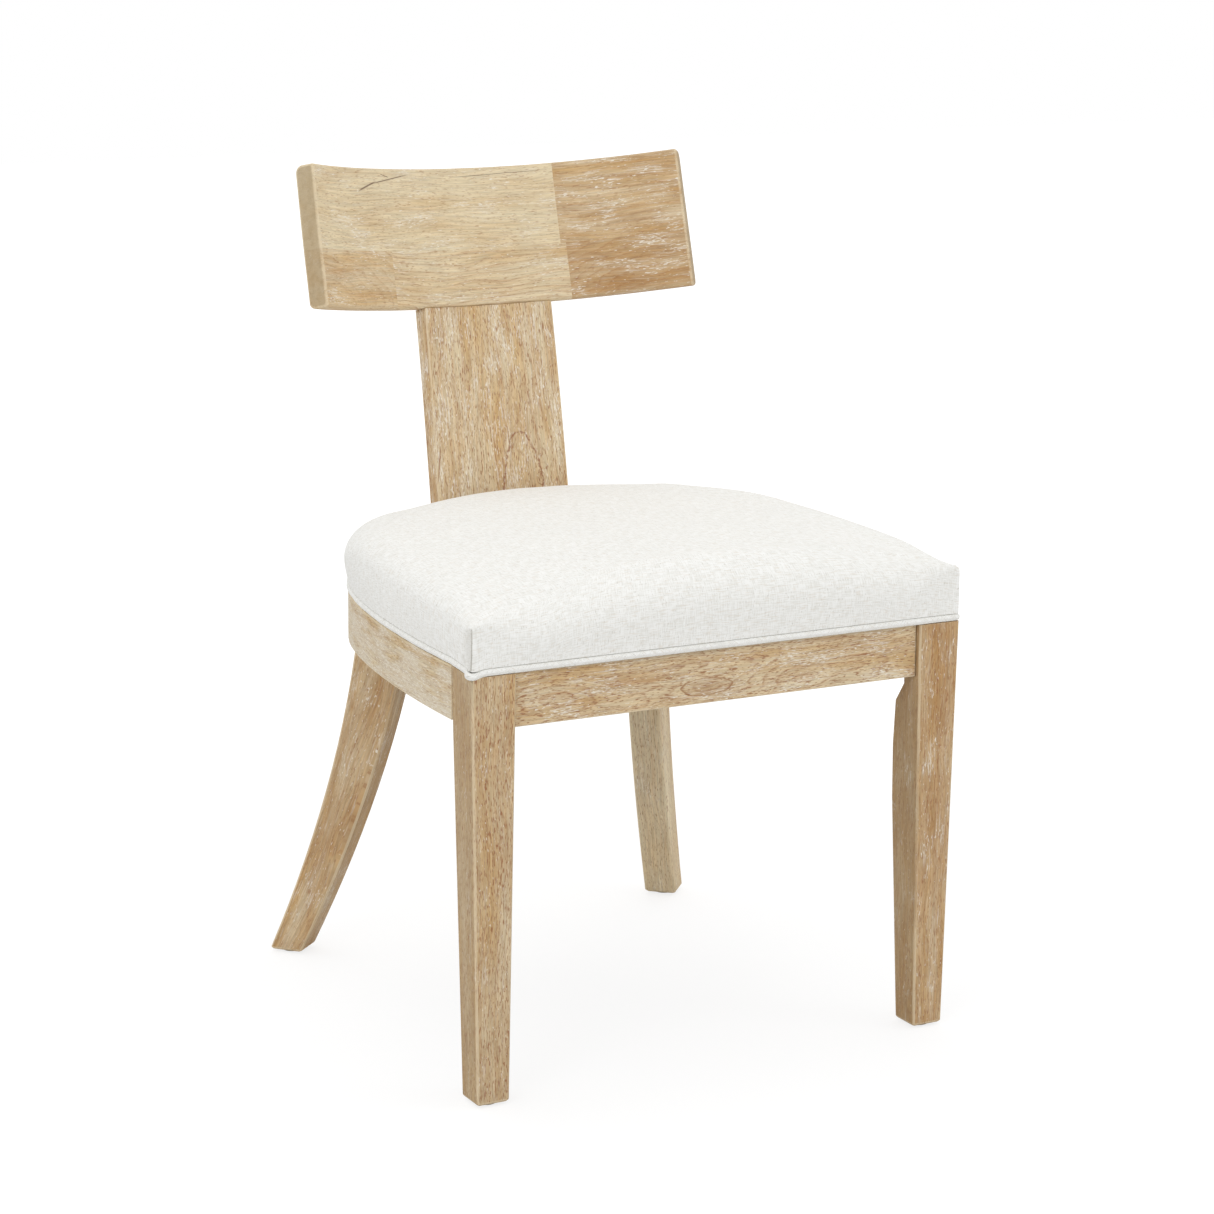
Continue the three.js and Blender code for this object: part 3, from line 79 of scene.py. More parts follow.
def add_node(
    tree: bpy.types.NodeTree, kind: str, inputs: Mapping[int | str, Any] | None = None, **settings: Any
) -> bpy.types.Node:
    """Adds one node, sets its options and fills or links its inputs.

    Args:
        tree: the node tree that it goes into.
        kind: the node's type without its "ShaderNode".
        inputs: for an input's name or number, a value, a socket, or a node whose first output is meant.
        settings: the node's own options.

    Returns:
        The new node.
    """
    made = tree.nodes.new("ShaderNode" + kind)
    for name, value in settings.items():
        setattr(made, name, value)
    for key, value in (inputs or {}).items():
        source = value.outputs[0] if isinstance(value, bpy.types.Node) else value
        if isinstance(source, bpy.types.NodeSocket):
            tree.links.new(source, made.inputs[key])
        else:
            made.inputs[key].default_value = source
    return made


def ramp_stops(node: bpy.types.Node, stops: Sequence[tuple[float, Any]], interpolation: str = "LINEAR") -> None:
    """Writes a colour ramp's stops.

    Args:
        node: the colour ramp.
        stops: pairs of a place from 0 to 1 and a colour, or a grey level.
        interpolation: how the ramp runs from stop to stop.
    """
    ramp = node.color_ramp
    ramp.interpolation = interpolation
    while len(ramp.elements) < len(stops):
        ramp.elements.new(0.5)
    for element, (place, colour) in zip(ramp.elements, stops):
        element.position = place
        element.color = colour if isinstance(colour, tuple) else (colour, colour, colour, 1.0)


def mesh_piece(
    name: str, points: np.ndarray, faces: Sequence[Sequence[int]] | np.ndarray, smooth: bool = True
) -> bpy.types.Object:
    """Makes an object from arrays, at the origin, with its place in its mesh.

    Args:
        name: the piece's name.
        points: its points, in metres.
        faces: the point numbers of each face.
        smooth: whether its faces are shaded smooth.

    Returns:
        The new object, linked to the scene.
    """
    mesh = bpy.data.meshes.new(name)
    mesh.from_pydata(points.tolist(), [], [list(map(int, face)) for face in faces])
    mesh.polygons.foreach_set("use_smooth", np.full(len(mesh.polygons), smooth))
    mesh.update()
    piece = bpy.data.objects.new(name, mesh)
    bpy.context.scene.collection.objects.link(piece)
    return piece


def write_vectors(mesh: bpy.types.Mesh, name: str, values: np.ndarray) -> None:
    """Stores one vector for each point of a mesh under an attribute's name."""
    layer = mesh.attributes.new(name, "FLOAT_VECTOR", "POINT")
    layer.data.foreach_set("vector", np.ascontiguousarray(values, np.float32).ravel())


def write_floats(mesh: bpy.types.Mesh, name: str, values: np.ndarray) -> None:
    """Stores one number for each point of a mesh under an attribute's name."""
    layer = mesh.attributes.new(name, "FLOAT", "POINT")
    layer.data.foreach_set("value", np.ascontiguousarray(values, np.float32))


def grid_faces(rows: int, columns: int, wrap: bool) -> np.ndarray:
    """Faces of a grid of points, row after row.

    Args:
        rows: how many rows of points there are.
        columns: how many points are in a row.
        wrap: whether each row closes on itself.

    Returns:
        Four point numbers for each face.
    """
    row, column = np.meshgrid(
        np.arange(rows - 1), np.arange(columns if wrap else columns - 1), indexing="ij"
    )
    right = (column + 1) % columns
    corners = (
        row * columns + column,
        row * columns + right,
        (row + 1) * columns + right,
        (row + 1) * columns + column,
    )
    return np.stack([c.ravel() for c in corners], axis=1)


def face_outwards(piece: bpy.types.Object) -> None:
    """Turns the faces of a closed mesh outwards, after its doubles are merged."""
    shell = bmesh.new()
    shell.from_mesh(piece.data)
    bmesh.ops.remove_doubles(shell, verts=shell.verts, dist=0.01 * MM)
    bmesh.ops.recalc_face_normals(shell, faces=shell.faces)
    shell.to_mesh(piece.data)
    shell.free()
    piece.data.update()


def fit(piece: bpy.types.Object, slot: str, *nodes: str) -> None:
    """Makes a piece ride on the chair and hides the CAD nodes that it stands for."""
    if nodes:
        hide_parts(*nodes)
    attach(piece, BODY)
    log.info("%s: %d faces", piece.name, len(piece.data.polygons))


def dress(piece: bpy.types.Object, material: bpy.types.Material) -> None:
    """Gives an object one material in place of those that it has."""
    piece.data.materials.clear()
    piece.data.materials.append(material)


# Where the chair stands


# The shapes below are worked out in millimetres behind the legs' front faces, which stand this far
# in front of the origin.
FRONT_MM = -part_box("front_leg_right")[0][1] / MM
RAIL_TOP = 433.0
RAIL_UNDERSIDE = 378.5


def to_frame(points: np.ndarray) -> np.ndarray:
    """Moves points in millimetres behind the front legs' faces to metres in the shared frame."""
    return (points + np.array([0.0, -FRONT_MM, 0.0])) * MM


def from_frame(points: np.ndarray) -> np.ndarray:
    """Moves points in metres in the shared frame to millimetres behind the front legs' faces."""
    return points / MM + np.array([0.0, FRONT_MM, 0.0])


def bezier(controls: Sequence[Sequence[float]], count: int) -> np.ndarray:
    """Points of a Bezier curve: each blend doubles the last one's steps between neighbours.

    Args:
        controls: its control points.
        count: how many steps it is divided into.

    Returns:
        count + 1 points.
    """
    share = np.linspace(0, 1, count + 1)[:, None]
    level = [np.broadcast_to(np.array(c, float), (count + 1, len(c))) for c in controls]
    while len(level) > 1:
        level = [a * (1 - share) + b * share for a, b in zip(level, level[1:])]
    return level[0]


def arc_lengths(points: np.ndarray) -> np.ndarray:
    """How far along a line of points each of them is."""
    return np.concatenate([[0.0], np.cumsum(np.linalg.norm(np.diff(points, axis=0), axis=1))])


def spaced(points: np.ndarray, places: np.ndarray) -> np.ndarray:
    """Points of a line at given lengths along it."""
    lengths = arc_lengths(points)
    return np.stack([np.interp(places, lengths, points[:, k]) for k in range(points.shape[1])], axis=1)


def smoothstep(x: np.ndarray) -> np.ndarray:
    """Rises from 0 to 1 with level ends: three x squared less two x cubed."""
    x = np.clip(x, 0, 1)
    return x * x * (3 - 2 * x)


@dataclass(frozen=True)
class SeatPlan:
    """The plan that the seat frame and the cushion share, in millimetres."""

    half_front: float = 277.3
    side_start: tuple[float, float] = (270.7, 57.0)
    side_end: tuple[float, float] = (221.0, 410.0)
    side_handles: tuple[float, float] = (150.0, 70.0)
    run_in: float = math.radians(24)
    corner_reach: float = 35.0
    bow: float = 5.0
    bow_half_width: float = 151.5

    def side_and_back(self, depth: float) -> tuple[np.ndarray, np.ndarray]:
        """The right side from behind the front leg to the middle of the back corner, and on from there.

        Args:
            depth: how far back the middle of the back lies.

        Returns:
            Points of the side, and points from the corner's middle to the middle of the back.
        """
        inward = np.array([-math.sin(self.run_in), math.cos(self.run_in)])
        slope = 2 * self.bow / self.bow_half_width
        start, end = np.array(self.side_start), np.array(self.side_end)
        rise = depth - self.bow - (end[0] - self.bow_half_width) * slope - end[1]
        corner = end + inward * rise / (inward[1] + inward[0] * slope)
        backward = np.array([-1.0, slope]) / math.hypot(1, slope)
        bend = bezier([corner - inward * self.corner_reach, corner, corner + backward * self.corner_reach], 24)
        first, second = self.side_handles
        side = bezier([start, start + [0, first], end - inward * second, end], 60)
        last = bend[-1]
        back = bezier([last, [last[0] - (depth - last[1]) / slope, depth], [0.0, depth]], 24)
        return np.vstack([side, bend[:13]]), np.vstack([bend[12:], back[1:]])


PLAN = SeatPlan()


# Finishes


def blank_material(name: str) -> tuple[bpy.types.Material, bpy.types.NodeTree, bpy.types.Node]:
    """Makes a material that holds only its shader and its output."""
    material = bpy.data.materials.new(name)
    material.use_nodes = True
    tree = material.node_tree
    tree.nodes.clear()
    shader = add_node(tree, "BsdfPrincipled")
    add_node(tree, "OutputMaterial", {"Surface": shader})
    return material, tree, shader


@dataclass(frozen=True)
class Figure:
    """Growth rings as a face shows them: ovals about a centre in the board's face, in millimetres."""

    along: float = 0.0
    across: float = -140.0
    stretch: float = 12.0
    strength: float = 0.5


@dataclass(frozen=True)
class Stave:
    """One block of a board glued up from several: where it starts, its shade, lime and rings."""

    start: float
    shade: float
    lime: float
    figure: Figure


@dataclass(frozen=True)
class Knot:
    """A knot in a board's face, at millimetres along and across, with its two half sizes."""

    along: float
    across: float
    half_length: float
    half_width: float


@dataclass(frozen=True)
class Arch:
    """One dark ring line that arches over: its top, half its width at its foot, its height and lean."""

    along: float
    across: float
    half_width: float
    height: float
    lean: float = 0.0


@dataclass(frozen=True)
class DarkLine:
    """A fine dark line in the face, straight from one place to another, and so deep. Most are checks; one is painted
    shade in a joint's corner.
    """

    start: tuple[float, float]
    end: tuple[float, float]
    width: float = 0.7
    colour: str = "5E4032"
    deep: float = 100.0


@dataclass(frozen=True)
class LimewashedOak:
    """Oak, sanded, brushed and rubbed with white lime filler that stays in its open pores.

    The eye sees honey and straw bands of growth rings, short dark and short white pore dashes that
    run with the grain, cloudy patches of lime, and paler rubbed arrises. Everything is worked out in
    the board attribute: along the grain, across the board and into it, in millimetres.
    """

    name: str
    figure: Figure = Figure()
    ring_mm: float = 6.0
    lime: float = 0.5
    pores: float = 0.5
    shade: float = 0.5
    grey: float = 0.0
    veil: float = 0.1
    seed: float = 0.0
    rows: tuple[tuple[float, tuple[Stave, ...]], ...] = ()
    span: tuple[float, float] = (-300.0, 300.0)
    knots: tuple[Knot, ...] = ()
    arches: tuple[Arch, ...] = ()
    dark_lines: tuple[DarkLine, ...] = ()

    def stave_numbers(
        self, tree: bpy.types.NodeTree, board: bpy.types.Node, number: Callable[[Stave], Colour]
    ) -> bpy.types.Node:
        """Gives each glued-up block its own colour, with steps at the joints of each row.

        Args:
            tree: the material's nodes.
            board: the board coordinates in millimetres.
            number: what a stave's colour holds.

        Returns:
            The node whose colour holds the numbers.
        """
        parts = add_node(tree, "SeparateXYZ", {0: board})
        low, high = self.span
        place = add_node(tree, "MapRange", {0: parts.outputs[0], 1: low, 2: high})
        chosen, edge = None, 0.0
        for top, blocks in self.rows:
            ramp = add_node(tree, "ValToRGB", {0: place})
            ramp_stops(ramp, [((b.start - low) / (high - low), number(b)) for b in blocks], "CONSTANT")
            if chosen is None:
                chosen = ramp
            else:
                above = add_node(tree, "Math", {0: parts.outputs[1], 1: edge}, operation="GREATER_THAN")
                chosen = add_node(tree, "MixRGB", {0: above, 1: chosen, 2: ramp})
            edge = top
        return chosen

    def build(self, source: "GrainSource") -> bpy.types.Material:
        """Builds the material.

        Args:
            source: where the board coordinates come from.

        Returns:
            The material.
        """
        material, tree, shader = blank_material(self.name)

        def noise(vector: bpy.types.Node, cell: tuple[float, float, float], detail: float, turn: float = 0.0) -> bpy.types.Node:
            """Cloudy noise whose cells have a size in millimetres along, across and into the board."""
            scale = tuple(1 / size for size in cell)
            shift = (self.seed * 17.3 + turn, self.seed * 5.1 + turn, self.seed * 3.7)
            placed = add_node(tree, "Mapping", {"Vector": vector, "Location": shift, "Scale": scale})
            return add_node(tree, "TexNoise", {"Vector": placed, "Scale": 1.0, "Detail": detail})

        board = add_node(tree, "VectorMath", {0: source.value(tree), 3: 1000.0}, operation="SCALE")
        # Each block of a glued-up board is cut from another place, so its fibres start anew.
        placed = board
        shade: Any = self.shade
        lime_level: Any = self.lime
        if self.rows:
            looks = self.stave_numbers(tree, board, lambda b: (b.shade, b.lime, b.figure.strength, 1.0))
            rings = self.stave_numbers(
                tree,
                board,
                lambda b: ((b.figure.along + 500) / 1000, (b.figure.across + 500) / 1000, b.figure.stretch / 20, 1.0),
            )
            look = add_node(tree, "SeparateColor", {0: looks})
            shade, lime_level, strength = look.outputs[0], look.outputs[1], look.outputs[2]
            placed = add_node(tree, "VectorMath", {0: rings, 1: (310.0, 0.0, 170.0), 2: board}, operation="MULTIPLY_ADD")
            ring = add_node(tree, "SeparateColor", {0: rings})
            centre = add_node(tree, "VectorMath", {0: rings, 1: (-1000.0, -1000.0, 0.0), 2: (500.0, 500.0, 30.0)}, operation="MULTIPLY_ADD")
            squeeze = add_node(tree, "Math", {0: 0.05, 1: ring.outputs[2]}, operation="DIVIDE")
            squeeze = add_node(tree, "CombineXYZ", {0: squeeze, 1: 1.0, 2: 1.0})
        else:
            strength = self.figure.strength
            centre = add_node(tree, "CombineXYZ", {0: -self.figure.along, 1: -self.figure.across, 2: 30.0})
            squeeze = add_node(tree, "CombineXYZ", {0: 1 / self.figure.stretch, 1: 1.0, 2: 1.0})
        # The fibres wander by a few millimetres over a hand's breadth.
        drift = noise(placed, (130.0, 38.0, 38.0), 1.5)
        drift = add_node(tree, "VectorMath", {0: drift.outputs["Color"], 1: (0.5, 0.5, 0.5)}, operation="SUBTRACT")
        grain = add_node(tree, "VectorMath", {0: drift, 1: (0.0, 16.0, 16.0), 2: placed}, operation="MULTIPLY_ADD")
        from_centre = add_node(tree, "VectorMath", {0: drift, 1: (0.0, 34.0, 34.0), 2: board}, operation="MULTIPLY_ADD")
        from_centre = add_node(tree, "VectorMath", {0: from_centre, 1: centre}, operation="ADD")
        from_centre = add_node(tree, "VectorMath", {0: from_centre, 1: squeeze}, operation="MULTIPLY")
        # A wave's rings are 0.314 of its unit apart.
        wave = add_node(
            tree,
            "TexWave",
            {"Vector": from_centre, "Scale": 0.314 / self.ring_mm, "Distortion": 1.6, "Detail": 2.0, "Detail Scale": 0.5},
            wave_type="RINGS",
            rings_direction="SPHERICAL",
            wave_profile="SAW",
        )
        for knot in self.knots:
            distance = self.knot_distance(tree, board, knot)
            swell = add_node(tree, "MapRange", {0: distance, 1: 0.4, 2: 3.4, 3: 18.0, 4: 0.0}, interpolation_type="SMOOTHSTEP")
            tree.links.new(swell.outputs[0], wave.inputs["Phase Offset"])
        late = add_node(tree, "ValToRGB", {0: wave.outputs["Fac"]})
        ramp_stops(late, [(0.0, 0.0), (0.5, 0.1), (0.78, 0.45), (0.89, 1.0), (0.96, 0.35), (1.0, 0.0)])

        fibre = noise(grain, (36.0, 1.5, 1.5), 2.0)
        brushed = noise(grain, (24.0, 1.25, 1.25), 1.0, 11.0)
        streak = noise(grain, (120.0, 6.5, 6.5), 2.0)
        band = noise(grain, (260.0, 15.0, 15.0), 1.5, 71.0)
        cloud = noise(placed, (95.0, 40.0, 40.0), 2.5)

        # Straw, honey and tan in streaks and clouds.
        warm = add_node(tree, "MapRange", {0: band, 1: 0.34, 2: 0.66})
        colour = add_node(tree, "MixRGB", {0: warm, 1: linear("DFCCA9"), 2: linear("CFAD79")})
        pale = add_node(tree, "MapRange", {0: cloud, 1: 0.42, 2: 0.68, 3: 0.0, 4: 0.6})
        colour = add_node(tree, "MixRGB", {0: pale, 1: colour, 2: linear("DDCCAA")})
        tan = add_node(tree, "MapRange", {0: streak, 1: 0.5, 2: 0.74, 3: 0.0, 4: 0.5})
        colour = add_node(tree, "MixRGB", {0: tan, 1: colour, 2: linear("BE9462")})
        ring_tint = add_node(tree, "Math", {0: late, 1: strength}, operation="MULTIPLY")
        ring_tint = add_node(tree, "Math", {0: ring_tint, 1: 0.8}, operation="MULTIPLY")
        colour = add_node(tree, "MixRGB", {0: ring_tint, 1: colour, 2: linear("AE7B4E")})
        # A shade of a half leaves the wood as it is; less is straw and more is brown. It drifts by
        # about a tenth over a hand's breadth.
        mottle = noise(placed, (75.0, 24.0, 24.0), 2.0, 29.0)
        shade = add_node(tree, "Math", {0: mottle, 1: 0.6, 2: shade}, operation="MULTIPLY_ADD")
        shade = add_node(tree, "Math", {0: shade, 1: 0.3}, operation="SUBTRACT")
        brown = add_node(tree, "MapRange", {0: shade, 1: 0.5, 2: 1.0, 3: 0.0, 4: 0.85})
        colour = add_node(tree, "MixRGB", {0: brown, 1: colour, 2: linear("A67843")})
        straw = add_node(tree, "MapRange", {0: shade, 1: 0.5, 2: 0.0, 3: 0.0, 4: 0.85})
        colour = add_node(tree, "MixRGB", {0: straw, 1: colour, 2: linear("E6D8B6")})
        if self.grey:
            colour = add_node(tree, "MixRGB", {0: self.grey, 1: colour, 2: linear("B8AC8C")})
        fine = add_node(tree, "MapRange", {0: fibre, 1: 0.3, 2: 0.7, 3: 0.83, 4: 1.12})
        colour = add_node(tree, "MixRGB", {0: 1.0, 1: colour, 2: fine}, blend_type="MULTIPLY")

        # Open pores: reddish dark dashes, most of them beside late wood. They are drawn a little wider
        # than the half millimetre of real ones, so that they show.
        pore = noise(grain, (6.5, 1.0, 1.0), 1.0)
        most = add_node(tree, "Math", {0: ring_tint, 1: 0.10, 2: 0.05 * self.pores}, operation="MULTIPLY_ADD")
        pore = add_node(tree, "Math", {0: pore, 1: most}, operation="ADD")
        dark = add_node(tree, "MapRange", {0: pore, 1: 0.62, 2: 0.69, 3: 0.0, 4: 0.34 + 0.5 * self.pores})
        colour = add_node(tree, "MixRGB", {0: dark, 1: colour, 2: linear("9A6640")})
        # White filler sits in other pores, thick in some patches and thin in others.
        white = noise(grain, (5.5, 1.0, 1.0), 1.0, 37.0)
        patch = noise(grain, (48.0, 15.0, 15.0), 3.5, 53.0)
        least = add_node(tree, "MapRange", {0: lime_level, 1: 0.0, 2: 1.0, 3: 0.64, 4: 0.36})
        where = add_node(tree, "Math", {0: patch, 1: least}, operation="SUBTRACT")
        where = add_node(tree, "MapRange", {0: where, 1: 0.0, 2: 0.20})
        thick = add_node(tree, "MapRange", {0: where, 1: 0.0, 2: 1.0, 3: 0.70, 4: 0.56})
        dash = add_node(tree, "Math", {0: white, 1: thick}, operation="SUBTRACT")
        lime = add_node(tree, "MapRange", {0: dash, 1: 0.0, 2: 0.05, 3: 0.0, 4: 0.85})
        colour = add_node(tree, "MixRGB", {0: lime, 1: colour, 2: linear("F0E8D9")})
        # Lime also stays in the fine lines that the wire brush left.
        line = add_node(tree, "MapRange", {0: brushed, 1: 0.55, 2: 0.66, 3: 0.0, 4: 0.55})
        kept = add_node(tree, "MapRange", {0: where, 1: 0.0, 2: 0.8, 3: 0.25, 4: 1.0})
        line = add_node(tree, "Math", {0: line, 1: kept}, operation="MULTIPLY")
        colour = add_node(tree, "MixRGB", {0: line, 1: colour, 2: linear("EFE6D6")})
        haze = add_node(tree, "Math", {0: where, 1: self.veil}, operation="MULTIPLY")
        colour = add_node(tree, "MixRGB", {0: haze, 1: colour, 2: linear("DCD2BF")})

        for knot in self.knots:
            colour = self.with_knot(tree, board, knot, colour)
        for arch in self.arches:
            colour = self.with_arch(tree, board, drift, arch, colour)
        for dark_line in self.dark_lines:
            colour = self.with_dark_line(tree, board, drift, dark_line, colour)

        # End grain drinks more of the stain. The same mark paints shade on the legs' left and right faces and on the
        # crest's top.
        ends = add_node(tree, "Attribute", attribute_name="end_grain_and_painted_shade")
        soak_and_shade = add_node(tree, "Math", {0: ends.outputs["Fac"], 1: 0.7}, operation="MULTIPLY")
        colour = add_node(tree, "MixRGB", {0: soak_and_shade, 1: colour, 2: linear("A18B68")})
        # Rubbed arrises show paler.
        arris = add_node(tree, "Attribute", attribute_name="arris")
        rubbed = add_node(tree, "MapRange", {0: streak, 1: 0.3, 2: 0.6, 3: 0.15, 4: 0.7})
        rubbed = add_node(tree, "Math", {0: arris.outputs["Fac"], 1: rubbed}, operation="MULTIPLY")
        outside_soak_and_shade = add_node(tree, "Math", {0: 1.0, 1: soak_and_shade}, operation="SUBTRACT")
        rubbed = add_node(tree, "Math", {0: rubbed, 1: outside_soak_and_shade}, operation="MULTIPLY")
        colour = add_node(tree, "MixRGB", {0: rubbed, 1: colour, 2: linear("E6D4B2")})
        tree.links.new(colour.outputs[0], shader.inputs["Base Color"])

        rough = add_node(tree, "MapRange", {0: fibre, 1: 0.3, 2: 0.7, 3: 0.58, 4: 0.72})
        tree.links.new(rough.outputs[0], shader.inputs["Roughness"])
        shader.inputs["Specular IOR Level"].default_value = 0.4
        sunk = add_node(tree, "Math", {0: dark, 1: -0.7, 2: fine}, operation="MULTIPLY_ADD")
        relief = add_node(tree, "Bump", {"Strength": 0.35, "Distance": 0.0006, "Height": sunk})
        tree.links.new(relief.outputs[0], shader.inputs["Normal"])
        return material

    @staticmethod
    def knot_distance(tree: bpy.types.NodeTree, board: bpy.types.Node, knot: Knot) -> bpy.types.NodeSocket:
        """Distance from a knot's middle, one on its oval outline."""
        scale = (1 / knot.half_length, 1 / knot.half_width, 0.0)
        shift = (-knot.along * scale[0], -knot.across * scale[1], 0.0)
        placed = add_node(tree, "Mapping", {"Vector": board, "Location": shift, "Scale": scale})
        wobble = add_node(tree, "TexNoise", {"Vector": placed, "Scale": 1.3, "Detail": 2.0})
        placed = add_node(tree, "VectorMath", {0: wobble.outputs["Color"], 1: (0.55, 0.55, 0.0), 2: placed}, operation="MULTIPLY_ADD")
        placed = add_node(tree, "VectorMath", {0: placed, 1: (0.27, 0.27, 0.0)}, operation="SUBTRACT")
        return add_node(tree, "VectorMath", {0: placed}, operation="LENGTH").outputs["Value"]

    def with_knot(
        self, tree: bpy.types.NodeTree, board: bpy.types.Node, knot: Knot, colour: bpy.types.Node
    ) -> bpy.types.Node:
        """Paints a knot: a reddish brown heart inside two dark oval lines that break up."""
        distance = self.knot_distance(tree, board, knot)
        lines = add_node(tree, "ValToRGB", {0: distance})
        ramp_stops(lines, [(0.0, 0.6), (0.2, 0.4), (0.34, 0.12), (0.5, 0.42), (0.62, 0.1), (0.82, 0.05), (0.93, 0.85), (1.0, 0.0)])
        return add_node(tree, "MixRGB", {0: lines, 1: colour, 2: linear("99693F")})

    @staticmethod
    def with_arch(
        tree: bpy.types.NodeTree, board: bpy.types.Node, drift: bpy.types.Node, arch: Arch, colour: bpy.types.Node
    ) -> bpy.types.Node:
        """Paints a ring line that arches over.

        It drops from its top by its height times the 2.6th power of the share of its half width,
        and by its lean. The distance from it is taken square to it, so that it keeps its width.
        """
        jag = add_node(tree, "TexNoise", {"Vector": board, "Scale": 0.12, "Detail": 2.0})
        jag = add_node(tree, "VectorMath", {0: jag.outputs["Color"], 1: (0.5, 0.5, 0.5)}, operation="SUBTRACT")
        moved = add_node(tree, "VectorMath", {0: jag, 1: (9.0, 7.0, 0.0), 2: board}, operation="MULTIPLY_ADD")
        placed = add_node(tree, "Mapping", {"Vector": moved, "Location": (-arch.along, -arch.across, 0.0)})
        parts = add_node(tree, "SeparateXYZ", {0: placed})
        share = add_node(tree, "Math", {0: parts.outputs[1], 1: 1 / arch.half_width}, operation="MULTIPLY")
        share = add_node(tree, "Math", {0: share}, operation="ABSOLUTE")
        drop = add_node(tree, "Math", {0: share, 1: 2.6}, operation="POWER")
        line = add_node(tree, "Math", {0: drop, 1: arch.height, 2: parts.outputs[0]}, operation="MULTIPLY_ADD")
        line = add_node(tree, "Math", {0: parts.outputs[1], 1: arch.lean, 2: line}, operation="MULTIPLY_ADD")
        steep = add_node(tree, "Math", {0: share, 1: 1.6}, operation="POWER")
        steep = add_node(tree, "Math", {0: steep, 1: 2.6 * arch.height / arch.half_width, 2: 1.0}, operation="MULTIPLY_ADD")
        line = add_node(tree, "Math", {0: line, 1: steep}, operation="DIVIDE")
        line = add_node(tree, "Math", {0: line}, operation="ABSOLUTE")
        core = add_node(tree, "MapRange", {0: line, 1: 1.5, 2: 0.4, 3: 0.0, 4: 0.8})
        speck = add_node(tree, "TexNoise", {"Vector": board, "Scale": 0.3, "Detail": 2.0})
        broken = add_node(tree, "MapRange", {0: speck, 1: 0.38, 2: 0.56, 3: 0.25, 4: 1.0})
        mask = add_node(tree, "Math", {0: core, 1: broken}, operation="MULTIPLY")
        return add_node(tree, "MixRGB", {0: mask, 1: colour, 2: linear("8E5636")})

    @staticmethod
    def with_dark_line(
        tree: bpy.types.NodeTree, board: bpy.types.Node, drift: bpy.types.Node, dark_line: DarkLine, colour: bpy.types.Node
    ) -> bpy.types.Node:
        """Paints a fine dark line: dark near a straight line between its ends, fading towards both."""
        (x0, y0), (x1, y1) = dark_line.start, dark_line.end
        turn = -math.atan2(y1 - y0, x1 - x0)
        moved = add_node(tree, "VectorMath", {0: drift, 1: (0.0, 7.0, 0.0), 2: board}, operation="MULTIPLY_ADD")
        centred = add_node(tree, "VectorMath", {0: moved, 1: ((x0 + x1) / 2, (y0 + y1) / 2, 0.0)}, operation="SUBTRACT")
        placed = add_node(tree, "Mapping", {"Vector": centred, "Rotation": (0.0, 0.0, turn)})
        parts = add_node(tree, "SeparateXYZ", {0: placed})
        half = math.hypot(x1 - x0, y1 - y0) / 2
        off = add_node(tree, "Math", {0: parts.outputs[1]}, operation="ABSOLUTE")
        near = add_node(tree, "MapRange", {0: off, 1: dark_line.width, 2: 0.2 * dark_line.width, 3: 0.0, 4: 0.85})
        past = add_node(tree, "Math", {0: parts.outputs[0]}, operation="ABSOLUTE")
        within = add_node(tree, "MapRange", {0: past, 1: half, 2: 0.6 * half})
        mask = add_node(tree, "Math", {0: near, 1: within}, operation="MULTIPLY")
        above = add_node(tree, "MapRange", {0: parts.outputs[2], 1: dark_line.deep, 2: 0.8 * dark_line.deep})
        mask = add_node(tree, "Math", {0: mask, 1: above}, operation="MULTIPLY")
        return add_node(tree, "MixRGB", {0: mask, 1: colour, 2: linear(dark_line.colour)})


class GrainSource(Enum):
    """Where a wood's board coordinates come from: an attribute, or the object's own axes."""

    BOARD = "board"
    ACROSS = "x"
    UPRIGHT = "z"

    def value(self, tree: bpy.types.NodeTree) -> bpy.types.Node | bpy.types.NodeSocket:
        """The coordinates, in metres, with the grain along their first axis."""
        if self is GrainSource.BOARD:
            return add_node(tree, "Attribute", attribute_name="board").outputs["Vector"]
        place = add_node(tree, "TexCoord").outputs["Object"]
        turn = (0.0, math.pi / 2, 0.0) if self is GrainSource.UPRIGHT else (0.0, 0.0, 0.0)
        return add_node(tree, "Mapping", {"Vector": place, "Rotation": turn})


